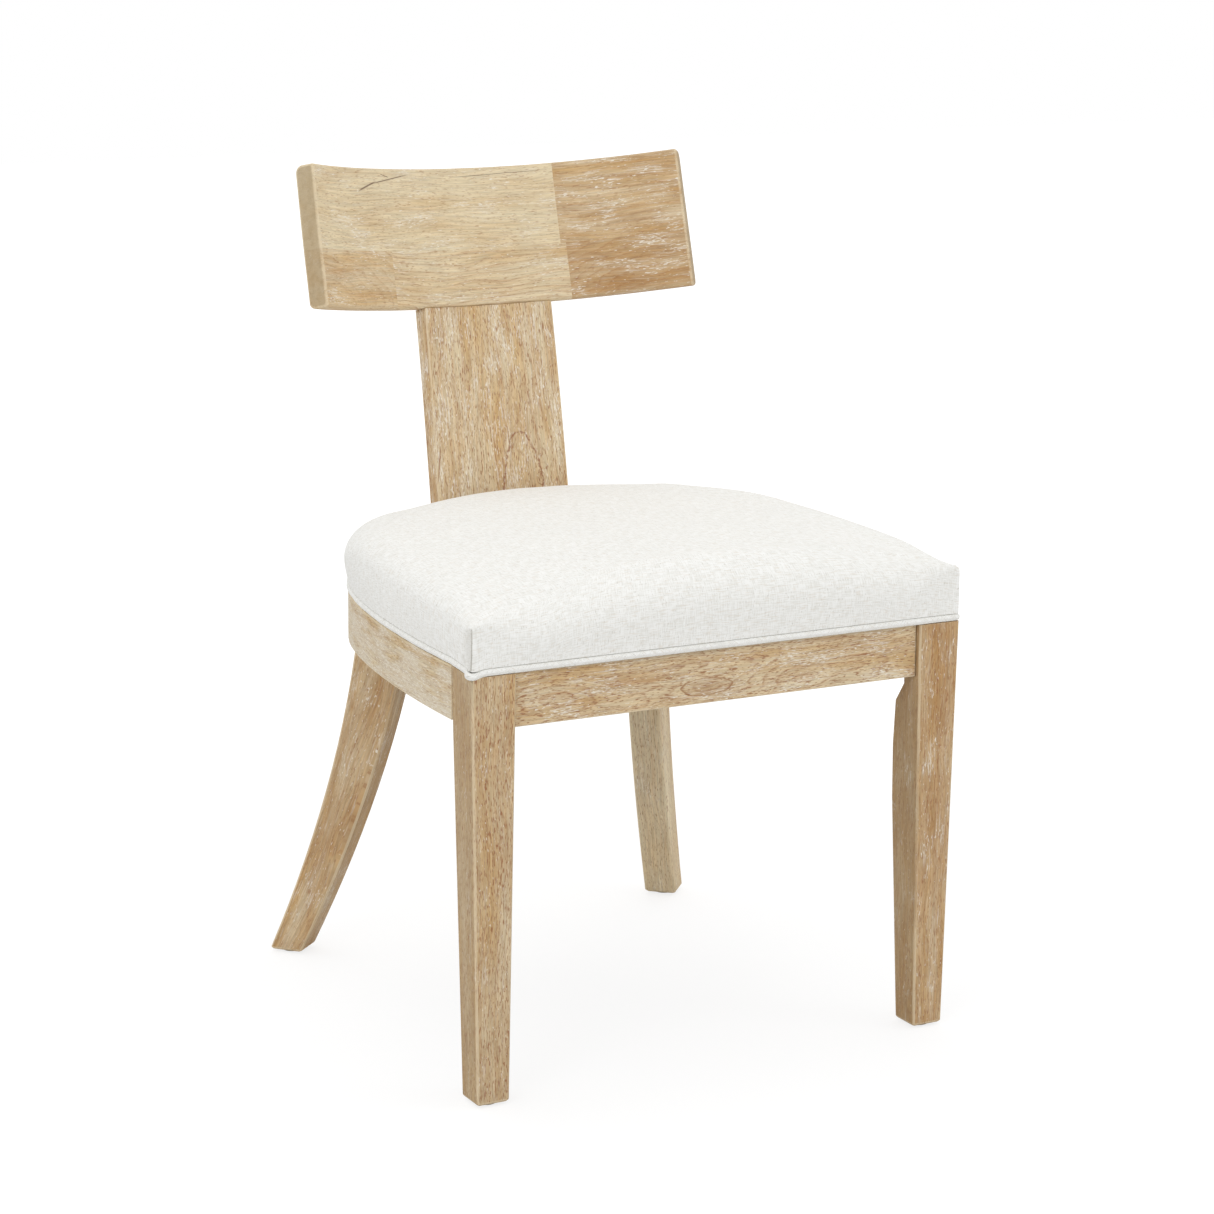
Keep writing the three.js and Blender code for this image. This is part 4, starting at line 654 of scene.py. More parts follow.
@dataclass(frozen=True)
class Linen:
    """Plain-woven linen and cotton in off-white, with uneven slubby yarns.

    The eye sees a matt, nearly white cloth crossed by short grey and beige yarns. The weave follows
    the cloth attribute, the place on the flat sheet in metres. Real yarns lie 0.6 mm apart, which is
    too fine to show, so they are drawn half as wide again.
    """

    name: str
    yarn_mm: float = 0.95
    turned: float = 0.0

    def build(self) -> bpy.types.Material:
        """Builds the material."""
        material, tree, shader = blank_material(self.name)
        cloth = add_node(tree, "Attribute", attribute_name="cloth").outputs["Vector"]
        sheet = add_node(tree, "VectorMath", {0: cloth, 3: 1000.0}, operation="SCALE")
        sheet = add_node(tree, "Mapping", {"Vector": sheet, "Rotation": (0.0, 0.0, math.radians(self.turned))})

        def yarns(cell: tuple[float, float, float], shift: float, detail: float = 1.0) -> bpy.types.Node:
            """Noise drawn out along one set of yarns."""
            scale = tuple(1 / size for size in cell)
            placed = add_node(tree, "Mapping", {"Vector": sheet, "Location": (shift, shift, 0.0), "Scale": scale})
            return add_node(tree, "TexNoise", {"Vector": placed, "Scale": 1.0, "Detail": detail})

        weft = yarns((11.0, self.yarn_mm, 9.0), 3.7, 0.0)
        warp = yarns((self.yarn_mm, 11.0, 9.0), 9.1, 0.0)
        slub = yarns((9.0, 1.5, 9.0), 21.3, 0.0)
        fleck = yarns((1.0, 4.0, 9.0), 33.1, 0.0)
        cloud = yarns((90.0, 60.0, 9.0), 5.0)

        both = add_node(tree, "Math", {0: weft, 1: warp}, operation="ADD")
        colour = add_node(tree, "MixRGB", {0: 0.5, 1: linear("F8F8F5"), 2: linear("E8E7E1")})
        depth = add_node(tree, "MapRange", {0: both, 1: 1.12, 2: 0.82, 3: 0.0, 4: 0.8})
        tree.links.new(depth.outputs[0], colour.inputs[0])
        beige = add_node(tree, "MapRange", {0: slub, 1: 0.60, 2: 0.74, 3: 0.0, 4: 0.4})
        colour = add_node(tree, "MixRGB", {0: beige, 1: colour, 2: linear("DFD6C8")})
        grey = add_node(tree, "MapRange", {0: fleck, 1: 0.70, 2: 0.77, 3: 0.0, 4: 0.5})
        colour = add_node(tree, "MixRGB", {0: grey, 1: colour, 2: linear("C2BFB6")})
        soft = add_node(tree, "MapRange", {0: cloud, 1: 0.3, 2: 0.7, 3: 0.992, 4: 1.005})
        colour = add_node(tree, "MixRGB", {0: 1.0, 1: colour, 2: soft}, blend_type="MULTIPLY")
        # Painted shade darkens the cloth along the corner creases, where it shuts on itself.
        crease_shade = add_node(tree, "Attribute", attribute_name="crease_shade")
        colour = add_node(tree, "MixRGB", {0: crease_shade.outputs["Fac"], 1: colour, 2: linear("B4B0A4")})
        tree.links.new(colour.outputs[0], shader.inputs["Base Color"])
        shader.inputs["Roughness"].default_value = 0.92
        shader.inputs["Specular IOR Level"].default_value = 0.25
        shader.inputs["Sheen Weight"].default_value = 0.12
        shader.inputs["Sheen Roughness"].default_value = 0.6
        relief = add_node(tree, "Bump", {"Strength": 0.4, "Distance": 0.0005, "Height": both})
        tree.links.new(relief.outputs[0], shader.inputs["Normal"])
        return material


@dataclass(frozen=True)
class PlainFinish:
    """A finish of one colour broken by fine noise, for what is seen little.

    Args:
        name: the real material and how its surface was made.
        colour, second: the two sRGB colours that the noise runs between.
        grain_mm: the size of the noise.
        roughness, metallic: the shader's own values.
        relief_mm: how deep the noise goes.
    """

    name: str
    colour: str
    second: str
    grain_mm: float
    roughness: float
    metallic: float = 0.0
    relief_mm: float = 0.0
    stretch: tuple[float, float, float] = (1.0, 1.0, 1.0)

    def build(self) -> bpy.types.Material:
        """Builds the material."""
        material, tree, shader = blank_material(self.name)
        place = add_node(tree, "TexCoord").outputs["Object"]
        scale = tuple(1 / (self.grain_mm * MM * s) for s in self.stretch)
        placed = add_node(tree, "Mapping", {"Vector": place, "Scale": scale})
        speckle = add_node(tree, "TexNoise", {"Vector": placed, "Scale": 1.0, "Detail": 3.0})
        share = add_node(tree, "MapRange", {0: speckle, 1: 0.35, 2: 0.65})
        colour = add_node(tree, "MixRGB", {0: share, 1: linear(self.colour), 2: linear(self.second)})
        tree.links.new(colour.outputs[0], shader.inputs["Base Color"])
        rough = add_node(tree, "MapRange", {0: speckle, 1: 0.3, 2: 0.7, 3: self.roughness - 0.05, 4: self.roughness + 0.05})
        tree.links.new(rough.outputs[0], shader.inputs["Roughness"])
        shader.inputs["Metallic"].default_value = self.metallic
        if self.relief_mm:
            relief = add_node(tree, "Bump", {"Strength": 0.6, "Distance": self.relief_mm * MM, "Height": speckle})
            tree.links.new(relief.outputs[0], shader.inputs["Normal"])
        return material


# Zinc-plated steel, faintly brushed by its turning: cool grey with a soft broken gloss.
ZINC_STEEL = PlainFinish("zinc_plated_steel", "B4B5B3", "8F918F", 1.2, 0.38, metallic=1.0)
# Turned beech: pale pinkish brown with short fine flecks along the dowel.
BEECH = PlainFinish("turned_beech", "D9BC95", "C8A67C", 0.9, 0.6, relief_mm=0.1)
# Moulded nylon: pale warm grey, satin, with the faint pebbling of its mould.
NYLON = PlainFinish("moulded_nylon", "DDD8CD", "CFC9BC", 0.8, 0.5, relief_mm=0.05)
# Birch plywood, sanded and bare: pale straw with soft streaks along its face grain.
PLYWOOD = PlainFinish("sanded_birch_plywood", "DCC49C", "CDB184", 2.0, 0.7, relief_mm=0.1, stretch=(18.0, 1.0, 1.0))
# Black cambric: thin non-woven cloth whose pressed fibres show as a fine uneven matt grain.
CAMBRIC = PlainFinish("black_cambric", "2E2E2F", "1E1E1F", 0.9, 0.95, relief_mm=0.15)


# Wooden pieces


def worn_copy(node: str, ease: float, foot_ease: float = 0.0, painted_side_shade: float = 0.0) -> tuple[bpy.types.Object, np.ndarray]:
    """Copies a CAD node, merges its triangles and rounds its long outer arrises by hand sanding.

    Args:
        node: the CAD node's name.
        ease: how far each arris is worn back, in millimetres.
        foot_ease: how far the arrises round a foot are worn back, or 0 for a piece without a foot.
        painted_side_shade: how much darker the faces to the left and right are painted, as shade, from 0 to 1.

    Returns:
        The piece, and its points in millimetres behind the front legs' faces.
    """
    shell = bmesh.new()
    shell.from_mesh(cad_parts[node].data)
    bmesh.ops.remove_doubles(shell, verts=shell.verts, dist=0.005 * MM)
    bmesh.ops.dissolve_limit(
        shell, angle_limit=math.radians(0.3), verts=shell.verts, edges=shell.edges, use_dissolve_boundaries=False
    )
    sharp = [
        edge
        for edge in shell.edges
        if len(edge.link_faces) == 2
        and edge.is_convex
        and edge.calc_face_angle(0.0) > math.radians(22)
        and edge.calc_length() > 9 * MM
    ]
    if foot_ease:
        low = [edge for edge in sharp if max(v.co.z for v in edge.verts) < 12 * MM]
        sharp = [edge for edge in sharp if edge not in low]
        bmesh.ops.bevel(
            shell, geom=low, offset=foot_ease * MM, offset_type="OFFSET", segments=3, profile=0.5, affect="EDGES", clamp_overlap=True
        )
        sharp = [edge for edge in sharp if edge.is_valid]
    bmesh.ops.bevel(
        shell,
        geom=sharp,
        offset=ease * MM,
        offset_type="OFFSET",
        segments=2,
        profile=0.5,
        affect="EDGES",
        clamp_overlap=True,
    )
    mesh = bpy.data.meshes.new(node + "_oak")
    shell.to_mesh(mesh)
    shell.free()
    mesh.polygons.foreach_set("use_smooth", np.full(len(mesh.polygons), True))
    normals = np.zeros(3 * len(mesh.polygons), np.float32)
    mesh.polygons.foreach_get("normal", normals)
    # The faces to the left and right are painted darker, as shade, in the same attribute as the end grain's soak.
    aside = mesh.attributes.new("end_grain_and_painted_shade", "FLOAT", "FACE")
    aside.data.foreach_set("value", painted_side_shade * (np.abs(normals[::3]) > 0.8).astype(np.float32))
    # A face narrower than an arris is part of one.
    narrow = [2 * face.area / perimeter(mesh, face) < 3.4 * MM for face in mesh.polygons]
    layer = mesh.attributes.new("arris", "FLOAT", "FACE")
    layer.data.foreach_set("value", np.array(narrow, np.float32))
    piece = bpy.data.objects.new(node + "_oak", mesh)
    bpy.context.scene.collection.objects.link(piece)
    even = piece.modifiers.new("flat_faces_stay_flat", "WEIGHTED_NORMAL")
    even.weight = 100
    even.keep_sharp = True
    points = np.zeros(3 * len(mesh.vertices), np.float32)
    mesh.vertices.foreach_get("co", points)
    return piece, from_frame(points.reshape(-1, 3).astype(float))


def perimeter(mesh: bpy.types.Mesh, face: bpy.types.MeshPolygon) -> float:
    """How long the outline of a face is."""
    corners = [mesh.vertices[v].co for v in face.vertices]
    return sum((a - b).length for a, b in zip(corners, corners[1:] + corners[:1]))


@dataclass
class FrontLegs:
    """The two straight tapered legs, cut from upright boards."""

    outer_foot: float = 270.1
    ease: float = 0.7
    foot_ease: float = 2.5
    # How much darker the legs' left and right faces are painted, as shade.
    painted_side_shade: float = 0.5

    def build(self) -> list[bpy.types.Object]:
        """Builds both legs with their board coordinates: up the leg, across it and into it."""
        made = []
        for side, sign in (("right", 1.0), ("left", -1.0)):
            piece, points = worn_copy("front_leg_" + side, self.ease, self.foot_ease, self.painted_side_shade)
            across = sign * points[:, 0] - self.outer_foot
            write_vectors(piece.data, "board", np.stack([points[:, 2], sign * across, points[:, 1]], 1) * MM)
            fit(piece, "oak", "front_leg_" + side)
            made.append(piece)
        return made

    def dress(self, pieces: Sequence[bpy.types.Object]) -> None:
        """Gives each leg its own board."""
        right, left = pieces
        dress(
            right,
            LimewashedOak(
                "limewashed_oak_right_leg",
                Figure(120.0, 70.0, 16.0, 0.45),
                ring_mm=4.2,
                seed=2.3,
                lime=0.38,
                pores=0.7,
                shade=0.8,
            ).build(GrainSource.BOARD),
        )
        dress(
            left,
            LimewashedOak(
                "limewashed_oak_left_leg",
                Figure(300.0, -90.0, 16.0, 0.4),
                ring_mm=4.6,
                seed=4.9,
                lime=0.24,
                pores=1.0,
                shade=0.64,
                grey=0.08,
            ).build(GrainSource.BOARD),
        )


@dataclass
class RearLegs:
    """The two sabre legs, whose grain follows the sweep as in a steamed or laminated blank."""

    splay: float = math.radians(42)
    foot_out: float = 72.1
    ease: float = 0.8
    foot_ease: float = 2.5

    def build(self) -> list[bpy.types.Object]:
        """Builds both legs. Along is measured down the curve, across and into it from its side face."""
        made = []
        out = np.array([math.sin(self.splay), math.cos(self.splay)])
        beside = np.array([math.cos(self.splay), -math.sin(self.splay)])
        curve = bezier([(-58.9, RAIL_UNDERSIDE), (-27.1, 201.5), (self.foot_out, 0.0)], 40)
        lengths = arc_lengths(curve)
        for side, sign in (("right", 1.0), ("left", -1.0)):
            piece, points = worn_copy("rear_leg_" + side, self.ease, self.foot_ease)
            plan = points[:, :2] * [sign, 1.0]
            height = points[:, 2]
            reach = plan @ out
            front = np.interp(height, curve[::-1, 1], curve[::-1, 0])
            along = np.interp(height, curve[::-1, 1], lengths[::-1])
            high = height > RAIL_UNDERSIDE - 4
            start = (reach[high] + 58.9 + 0.18 * np.maximum(height[high] - RAIL_UNDERSIDE, 0)).min()
            deep = reach - start - front
            write_vectors(piece.data, "board", np.stack([along, sign * (plan @ beside), deep], 1) * MM)
            fit(piece, "oak", "rear_leg_" + side)
            made.append(piece)
        return made

    def dress(self, pieces: Sequence[bpy.types.Object]) -> None:
        """Gives each leg its own board."""
        right, left = pieces
        dress(
            right,
            LimewashedOak("limewashed_oak_right_sabre", Figure(200.0, -60.0, 14.0, 0.4), seed=6.1, lime=0.38, veil=0.15, shade=0.33).build(
                GrainSource.BOARD
            ),
        )
        dress(
            left,
            LimewashedOak(
                "limewashed_oak_left_sabre", Figure(170.0, 24.0, 5.0, 0.45), seed=8.2, lime=0.42, pores=0.3, shade=0.72
            ).build(GrainSource.BOARD),
        )


@dataclass
class SeatFrame:
    """The horseshoe of rails under the cushion, with the blocks and the cleat inside it."""

    depth: float = 495.0
    ease: float = 0.6

    def build(self) -> dict[str, bpy.types.Object]:
        """Builds the rails. Their grain runs along them, round the bend too."""
        made: dict[str, bpy.types.Object] = {}
        piece, points = worn_copy("front_rail", self.ease)
        board = np.stack([points[:, 0], points[:, 2] - RAIL_UNDERSIDE, points[:, 1] - 6], 1)
        write_vectors(piece.data, "board", board * MM)
        made["front_rail"] = piece
        piece, points = worn_copy("back_rail", self.ease)
        board = np.stack([points[:, 0], points[:, 2] - RAIL_UNDERSIDE, self.depth - points[:, 1]], 1)
        write_vectors(piece.data, "board", board * MM)
        made["back_rail"] = piece
        side, back = PLAN.side_and_back(self.depth)
        line = np.vstack([side, back[1:13]])
        lengths = arc_lengths(line)
        for name, sign in (("side_rail_right", 1.0), ("side_rail_left", -1.0)):
            piece, points = worn_copy(name, self.ease)
            plan = points[:, :2] * [sign, 1.0]
            gaps = np.linalg.norm(plan[:, None, :] - line[None, :, :], axis=2)
            nearest = gaps.argmin(axis=1)
            board = np.stack([lengths[nearest], points[:, 2] - RAIL_UNDERSIDE, gaps.min(axis=1)], 1)
            write_vectors(piece.data, "board", board * MM)
            made[name] = piece
        for name, piece in made.items():
            fit(piece, "oak", name)
        return made

    def dress(self, made: dict[str, bpy.types.Object]) -> None:
        """Dresses the rails, each from its own board, and what stands inside them.

        A dark line at the right end of the front rail, in the corner where it meets the leg, is painted shade.
        """
        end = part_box("front_rail")[1][0] / MM
        front = LimewashedOak(
            "limewashed_oak_front_rail",
            Figure(30.0, 16.0, 13.0, 0.6),
            ring_mm=3.8,
            lime=0.66,
            pores=0.9,
            shade=0.5,
            seed=1.4,
            knots=(Knot(-16.0, 17.0, 31.0, 9.0),),
            # Painted shade in the corner where the rail's right end meets the leg.
            dark_lines=(DarkLine((end - 0.6, -30.0), (end - 0.6, 84.0), 1.6, "4A3224"),),
        )
        dress(made["front_rail"], front.build(GrainSource.BOARD))
        back = LimewashedOak("limewashed_oak_back_rail", Figure(-60.0, 90.0), seed=3.3, lime=0.4)
        dress(made["back_rail"], back.build(GrainSource.BOARD))
        right = LimewashedOak("limewashed_oak_right_side", Figure(200.0, -50.0), seed=5.5, lime=0.4)
        dress(made["side_rail_right"], right.build(GrainSource.BOARD))
        left = LimewashedOak("limewashed_oak_left_side", Figure(150.0, 90.0), seed=9.3, lime=1.0, veil=0.5, pores=0.6, shade=0.44, grey=0.25)
        dress(made["side_rail_left"], left.build(GrainSource.BOARD))
        inside = LimewashedOak("oak_blocks", Figure(0.0, -200.0), seed=9.0, lime=0.0).build(GrainSource.ACROSS)
        for name in ("corner_block_right", "corner_block_left", "back_cleat"):
            dress(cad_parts[name], inside)


def rounded_section(
    width: float, depth: float, radii: Sequence[float], flats: tuple[int, int], arcs: int
) -> tuple[np.ndarray, np.ndarray]:
    """A rectangle with four rounded corners, counted from the low front corner round to the back.

    Each corner is a quarter circle about a centre that lies its own radius inside both sides.

    Args:
        width: its size along the first axis.
        depth: its size along the second axis.
        radii: of the corners low front, high front, high back and low back.
        flats: how many steps the long and the short sides take.
        arcs: how many steps each corner takes.

    Returns:
        The points, and how near each is to the middle of a corner, from 0 to 1.
    """
    centres = [(1, 1, 180), (-1, 1, 270), (-1, -1, 0), (1, -1, 90)]
    places = [(0.0, 0.0), (width, 0.0), (width, depth), (0.0, depth)]
    points, nearness = [], []
    for i, ((a, b, start), (x, y), radius) in enumerate(zip(centres, places, radii)):
        share = np.linspace(0, 1, arcs + 1)
        angle = np.radians(start + 90 * share)
        arc = np.stack([x + a * radius + radius * np.cos(angle), y + b * radius + radius * np.sin(angle)], 1)
        points.append(arc)
        nearness.append(np.sin(np.pi * share) ** 0.5)
        following = (i + 1) % 4
        fx, fy = places[following]
        fa, fb, fstart = centres[following]
        first = np.radians(fstart)
        radius = radii[following]
        end = np.array([fx + fa * radius + radius * np.cos(first), fy + fb * radius + radius * np.sin(first)])
        steps = flats[0] if i % 2 == 0 else flats[1]
        between = np.linspace(0, 1, steps + 1)[1:-1, None]
        points.append(arc[-1] * (1 - between) + end * between)
        nearness.append(np.zeros(len(between)))
    return np.vstack(points), np.concatenate(nearness)


@dataclass
class CrestRail:
    """The deep yoke that curves round the sitter's back, in millimetres.

    Its section is a slab with tight arrises in front and full ones behind. The section is carried
    round a vertical cylinder that leans back, and shrinks over both rounded ends.
    """

    radius: float = 359.0
    thickness: float = 22.5
    height: float = 152.0
    top_chord: float = 438.0
    foot_chord: float = 441.0
    lean: float = math.radians(15.2)
    foot: tuple[float, float] = (530.0, 706.5)
    radii: tuple[float, float, float, float] = (4.0, 2.6, 8.5, 6.0)
    end_radius: float = 3.0
    rings: int = 90
    end_rings: int = 5

    def build(self) -> bpy.types.Object:
        """Builds the rail: arc length round its hollow face is along, up is across, back is deep."""
        turn = np.linspace(0, math.pi / 2, self.end_rings + 1)
        half = self.radius * math.asin(self.top_chord / 2 / self.radius)
        drawn = self.end_radius * (1 - np.cos(turn))
        reach = 1 - self.end_radius * (1 - np.sin(turn)) / half
        shares = np.concatenate([-reach[:0:-1], np.linspace(-reach[0], reach[0], self.rings), reach[1:]])
        insets = np.concatenate([drawn[:0:-1], np.zeros(self.rings), drawn[1:]])
        outline, corner = rounded_section(self.height, self.thickness, self.radii, (30, 4), 7)
        middle = np.array([self.height, self.thickness]) / 2
        scale = 1 - insets[:, None, None] / middle
        section = middle + (outline - middle) * scale
        up, back = section[..., 0], section[..., 1]
        # The ends are bullnosed a little at the back, where the hand takes hold.
        chord = self.foot_chord + (self.top_chord - self.foot_chord) * up / self.height
        angle = shares[:, None] * np.arcsin(chord / 2 / self.radius)
        # Hand sanding leaves the faces a hair out of true.
        wave = 0.22 * np.sin(angle * 19 + up * 0.031) + 0.16 * np.sin(angle * 41 - up * 0.05 + 1.3)
        round_it = self.radius + back + wave
        flat_back = round_it * np.cos(angle) - self.radius
        lean_up = np.array([0.0, math.sin(self.lean), math.cos(self.lean)])
        lean_back = np.array([0.0, math.cos(self.lean), -math.sin(self.lean)])
        points = (
            round_it[..., None] * np.sin(angle)[..., None] * np.array([1.0, 0.0, 0.0])
            + flat_back[..., None] * lean_back
            + up[..., None] * lean_up
            + np.array([0.0, *self.foot])
        )
        rows, columns = points.shape[:2]
        faces = [*grid_faces(rows, columns, True), range(columns), range((rows - 1) * columns, rows * columns)]
        piece = mesh_piece("crest_rail_oak", to_frame(points.reshape(-1, 3)), faces)
        board = np.stack([angle * self.radius, up, back], -1).reshape(-1, 3)
        write_vectors(piece.data, "board", board * MM)
        # The rounded ends take in more stain, and the top is darkened a little with painted shade.
        soak_and_shade = np.maximum(((insets / self.end_radius) ** 2)[:, None], 0.35 * (up > self.height - 1.0))
        write_floats(piece.data, "end_grain_and_painted_shade", soak_and_shade.ravel())
        ends = (insets > 0).astype(float)[:, None] * np.ones(columns)
        arris = np.maximum(0.4 * np.broadcast_to(corner, ends.shape), ends)
        write_floats(piece.data, "arris", arris.ravel())
        face_outwards(piece)
        fit(piece, "oak", "crest_rail")
        return piece

    def dress(self, piece: bpy.types.Object) -> None:
        """Dresses it as a board glued up from five blocks in two rows."""
        finish = LimewashedOak(
            "limewashed_oak_crest",
            ring_mm=6.0,
            veil=0.1,
            pores=0.2,
            seed=0.6,
            span=(-260.0, 260.0),
            rows=(
                (
                    62.0,
                    (
                        Stave(-260.0, 0.56, 0.3, Figure(-250.0, 5.0, 2.2, 0.28)),
                        Stave(-116.0, 0.35, 0.4, Figure(-20.0, -300.0, 9.0, 0.7)),
                        Stave(100.0, 0.77, 0.6, Figure(225.0, -30.0, 2.0, 0.6)),
                    ),
                ),
                (
                    152.0,
                    (
                        Stave(-260.0, 0.22, 0.5, Figure(-60.0, 250.0, 8.0, 0.25)),
                        Stave(94.0, 0.65, 0.6, Figure(300.0, 190.0, 5.0, 0.45)),
                    ),
                ),
            ),
            dark_lines=(
                DarkLine((-157.0, 126.5), (-127.0, 137.5), 1.2, deep=8.0),
                DarkLine((-136.0, 134.5), (-80.0, 145.5), 0.8, deep=8.0),
                DarkLine((-121.0, 146.0), (-108.0, 142.0), 0.6, deep=8.0),
                DarkLine((-30.0, 143.0), (90.0, 145.0), 0.4, deep=8.0),
            ),
        )
        dress(piece, finish.build(GrainSource.BOARD))


@dataclass
class BackSplat:
    """The broad back board between the seat and the crest rail, hollow in front, in millimetres."""

    thickness: float = 19.0
    foot_y: float = 474.5
    foot_width: float = 162.0
    top_width: float = 154.0
    rise: float = 273.5
    rake: float = 55.5
    foot_lean: float = math.radians(9.6)
    handle: float = 137.0
    foot_radius: float = 1500.0
    top_radius: float = 359.0
    crest_lean: float = math.radians(15.2)
    arris: float = 2.0
    gap: float = 0.3
    rings: int = 60

    def build(self) -> bpy.types.Object:
        """Builds the board: its section is carried up a Bezier curve and cut off at both joints."""
        start = np.array([self.foot_y, RAIL_TOP])
        knee = start + self.handle * np.array([math.sin(self.foot_lean), math.cos(self.foot_lean)])
        end = start + [self.rake, self.rise]
        line = bezier([start, knee, end], self.rings)
        tangent = np.gradient(line, axis=0)
        tangent /= np.linalg.norm(tangent, axis=1)[:, None]
        share = np.linspace(0, 1, self.rings + 1)[:, None]
        half = (self.foot_width + (self.top_width - self.foot_width) * share) / 2
        curvature = 1 / self.foot_radius + (1 / self.top_radius - 1 / self.foot_radius) * share
        radii = (self.arris,) * 4
        outline, corner = rounded_section(2.0 * 79, self.thickness, radii, (28, 4), 5)
        across = (outline[:, 0] - 79) / 79 * half
        deep = np.broadcast_to(outline[:, 1], across.shape)
        forward = across**2 * curvature / 2 - deep
        across = across * (1 + deep * curvature)
        place = line[:, None, :] + forward[..., None] * np.stack([-tangent[:, 1], tangent[:, 0]], 1)[:, None, :]
        # The first and last rings slide along the board onto the joints' planes.
        foot = place[0]
        place[0] = foot + ((RAIL_TOP + self.gap - foot[:, 1]) / tangent[0, 1])[:, None] * tangent[0]
        lean_up = np.array([math.sin(self.crest_lean), math.cos(self.crest_lean)])
        top = place[-1]
        short = ((end - self.gap * lean_up) - top) @ lean_up / (tangent[-1] @ lean_up)
        place[-1] = top + short[:, None] * tangent[-1]
        points = np.concatenate([across[..., None], place], axis=-1)
        rows, columns = points.shape[:2]
        faces = [*grid_faces(rows, columns, True), range(columns), range((rows - 1) * columns, rows * columns)]
        piece = mesh_piece("back_splat_oak", to_frame(points.reshape(-1, 3)), faces)
        along = np.broadcast_to(arc_lengths(line)[:, None], across.shape)
        write_vectors(piece.data, "board", np.stack([along, across, deep], -1).reshape(-1, 3) * MM)
        write_floats(piece.data, "arris", np.tile(corner, rows))
        face_outwards(piece)
        fit(piece, "oak", "back_splat")
        return piece

    def dress(self, piece: bpy.types.Object) -> None:
        """Dresses it as a flat-sawn board with one tall ring arch at its foot and a pin knot."""
        finish = LimewashedOak(
            "limewashed_oak_splat",
            Figure(-60.0, 26.0, 7.0, 0.35),
            ring_mm=6.5,
            lime=0.74,
            veil=0.06,
            pores=0.85,
            seed=3.1,
            shade=0.53,
            knots=(Knot(85.0, 48.0, 8.0, 5.0),),
            arches=(Arch(136.6, 27.5, 24.0, 57.0, 0.3),),
            dark_lines=(DarkLine((131.0, -72.0), (86.0, -80.0), 1.1, "96603C", 8.0),),
        )
        dress(piece, finish.build(GrainSource.BOARD))


# Upholstery


@dataclass
class SeatOutline:
    """The closed outline of the cushion, as rings at any inset, in millimetres.

    The right half runs from the middle of the front to the middle of the back: a straight front, a
    quarter circle at the corner, and the frame's side and back moved inwards along their normals.
    The left half is its mirror image.
    """

    depth: float = 471.01
    corner: float = 5.0
    least_corner: float = 1.0
    front_steps: int = 40
    corner_steps: int = 8
    side_steps: int = 84
    base: np.ndarray = field(init=False)
    normals: np.ndarray = field(init=False)

    def __post_init__(self) -> None:
        """Lays out the side and the back once, with their normals."""
        side, back = PLAN.side_and_back(self.depth)
        start = np.array([[PLAN.half_front, self.corner]])
        run = spaced(start_line := np.vstack([start, side]), self.crowded(arc_lengths(start_line)[-1]))
        back_steps = self.front_steps + self.corner_steps // 2
        rest = spaced(back, np.linspace(0, arc_lengths(back)[-1], back_steps + 1))
        self.base = np.vstack([run, rest[1:]])
        step = np.gradient(self.base, axis=0)
        step /= np.linalg.norm(step, axis=1)[:, None]
        self.normals = np.stack([-step[:, 1], step[:, 0]], 1)
        self.normals[0] = (-1.0, 0.0)
        self.normals[-1] = (0.0, -1.0)

    def tip(self) -> np.ndarray:
        """How near each point is to the left front corner: a bell of its distance from it."""
        rim = self.ring(0.0)
        away = np.hypot(PLAN.half_front + rim[:, 0], rim[:, 1])
        return np.exp(-((away / 9.0) ** 2))

    def crowded(self, length: float) -> np.ndarray:
        """Places along the side that crowd together towards the front corner."""
        share = np.linspace(0, 1, self.side_steps - self.corner_steps // 2 + 1)
        return length * (0.12 * share + 0.88 * share**1.5)

    @property
    def to_corner(self) -> int:
        """How many steps it is from the middle of the front to the middle of the corner."""
        return self.front_steps + self.corner_steps // 2

    @property
    def to_back(self) -> int:
        """How many steps it is from the middle of the front to the middle of the back corner."""
        return self.to_corner + self.side_steps

    @property
    def count(self) -> int:
        """How many points a ring has."""
        return 2 * (self.to_back + self.to_corner)

    def ring(self, inset: np.ndarray | float) -> np.ndarray:
        """The outline at an inset, which may differ from point to point.

        Args:
            inset: how far inside the outline, as one number or one for each point of the ring.

        Returns:
            The ring's plan points, from the middle of the front round by the right side.
        """
        half_count = self.count // 2 + 1
        inset = np.broadcast_to(inset, (self.count,))
        right = self.half(inset[:half_count])
        left_inset = np.concatenate([inset[:1], inset[: half_count - 2 : -1]])
        left = self.half(left_inset) * [-1.0, 1.0]
        return np.vstack([right, left[1:-1][::-1]])

    def half(self, inset: np.ndarray) -> np.ndarray:
        """The right half of a ring at an inset for each of its points."""
        front, corner = self.front_steps, self.corner_steps
        radius = np.maximum(self.corner - inset, self.least_corner)
        share = np.linspace(0, 1, front + 1)[:-1]
        share = 1 - (1 - share) * (0.55 + 0.45 * (1 - share))
        flat = np.stack([share * (PLAN.half_front - inset - radius)[:front], inset[:front]], 1)
        angle = np.linspace(0, math.pi / 2, corner + 1)[:-1]
        some = slice(front, front + corner)
        bend_x = PLAN.half_front - inset[some] - radius[some] * (1 - np.sin(angle))
        bend = np.stack([bend_x, inset[some] + radius[some] * (1 - np.cos(angle))], 1)
        rest = self.base + self.normals * inset[front + corner :][:, None]
        return np.vstack([flat, bend, rest])

    def patch(self) -> np.ndarray:
        """Numbers of a grid that fills a ring: the ring's own on its rim, and new ones within."""
        corner, back, count = self.to_corner, self.to_back, self.count
        rows, columns = back - corner + 1, 2 * corner + 1
        grid = np.zeros((rows, columns), int)
        grid[1:-1, 1:-1] = count + np.arange((rows - 2) * (columns - 2)).reshape(rows - 2, columns - 2)
        grid[0] = np.arange(-corner, corner + 1) % count
        grid[-1] = np.arange(count - back, back - 1, -1)
        grid[:, -1] = np.arange(corner, back + 1)
        grid[:, 0] = np.arange(count - corner, count - back - 1, -1)
        return grid


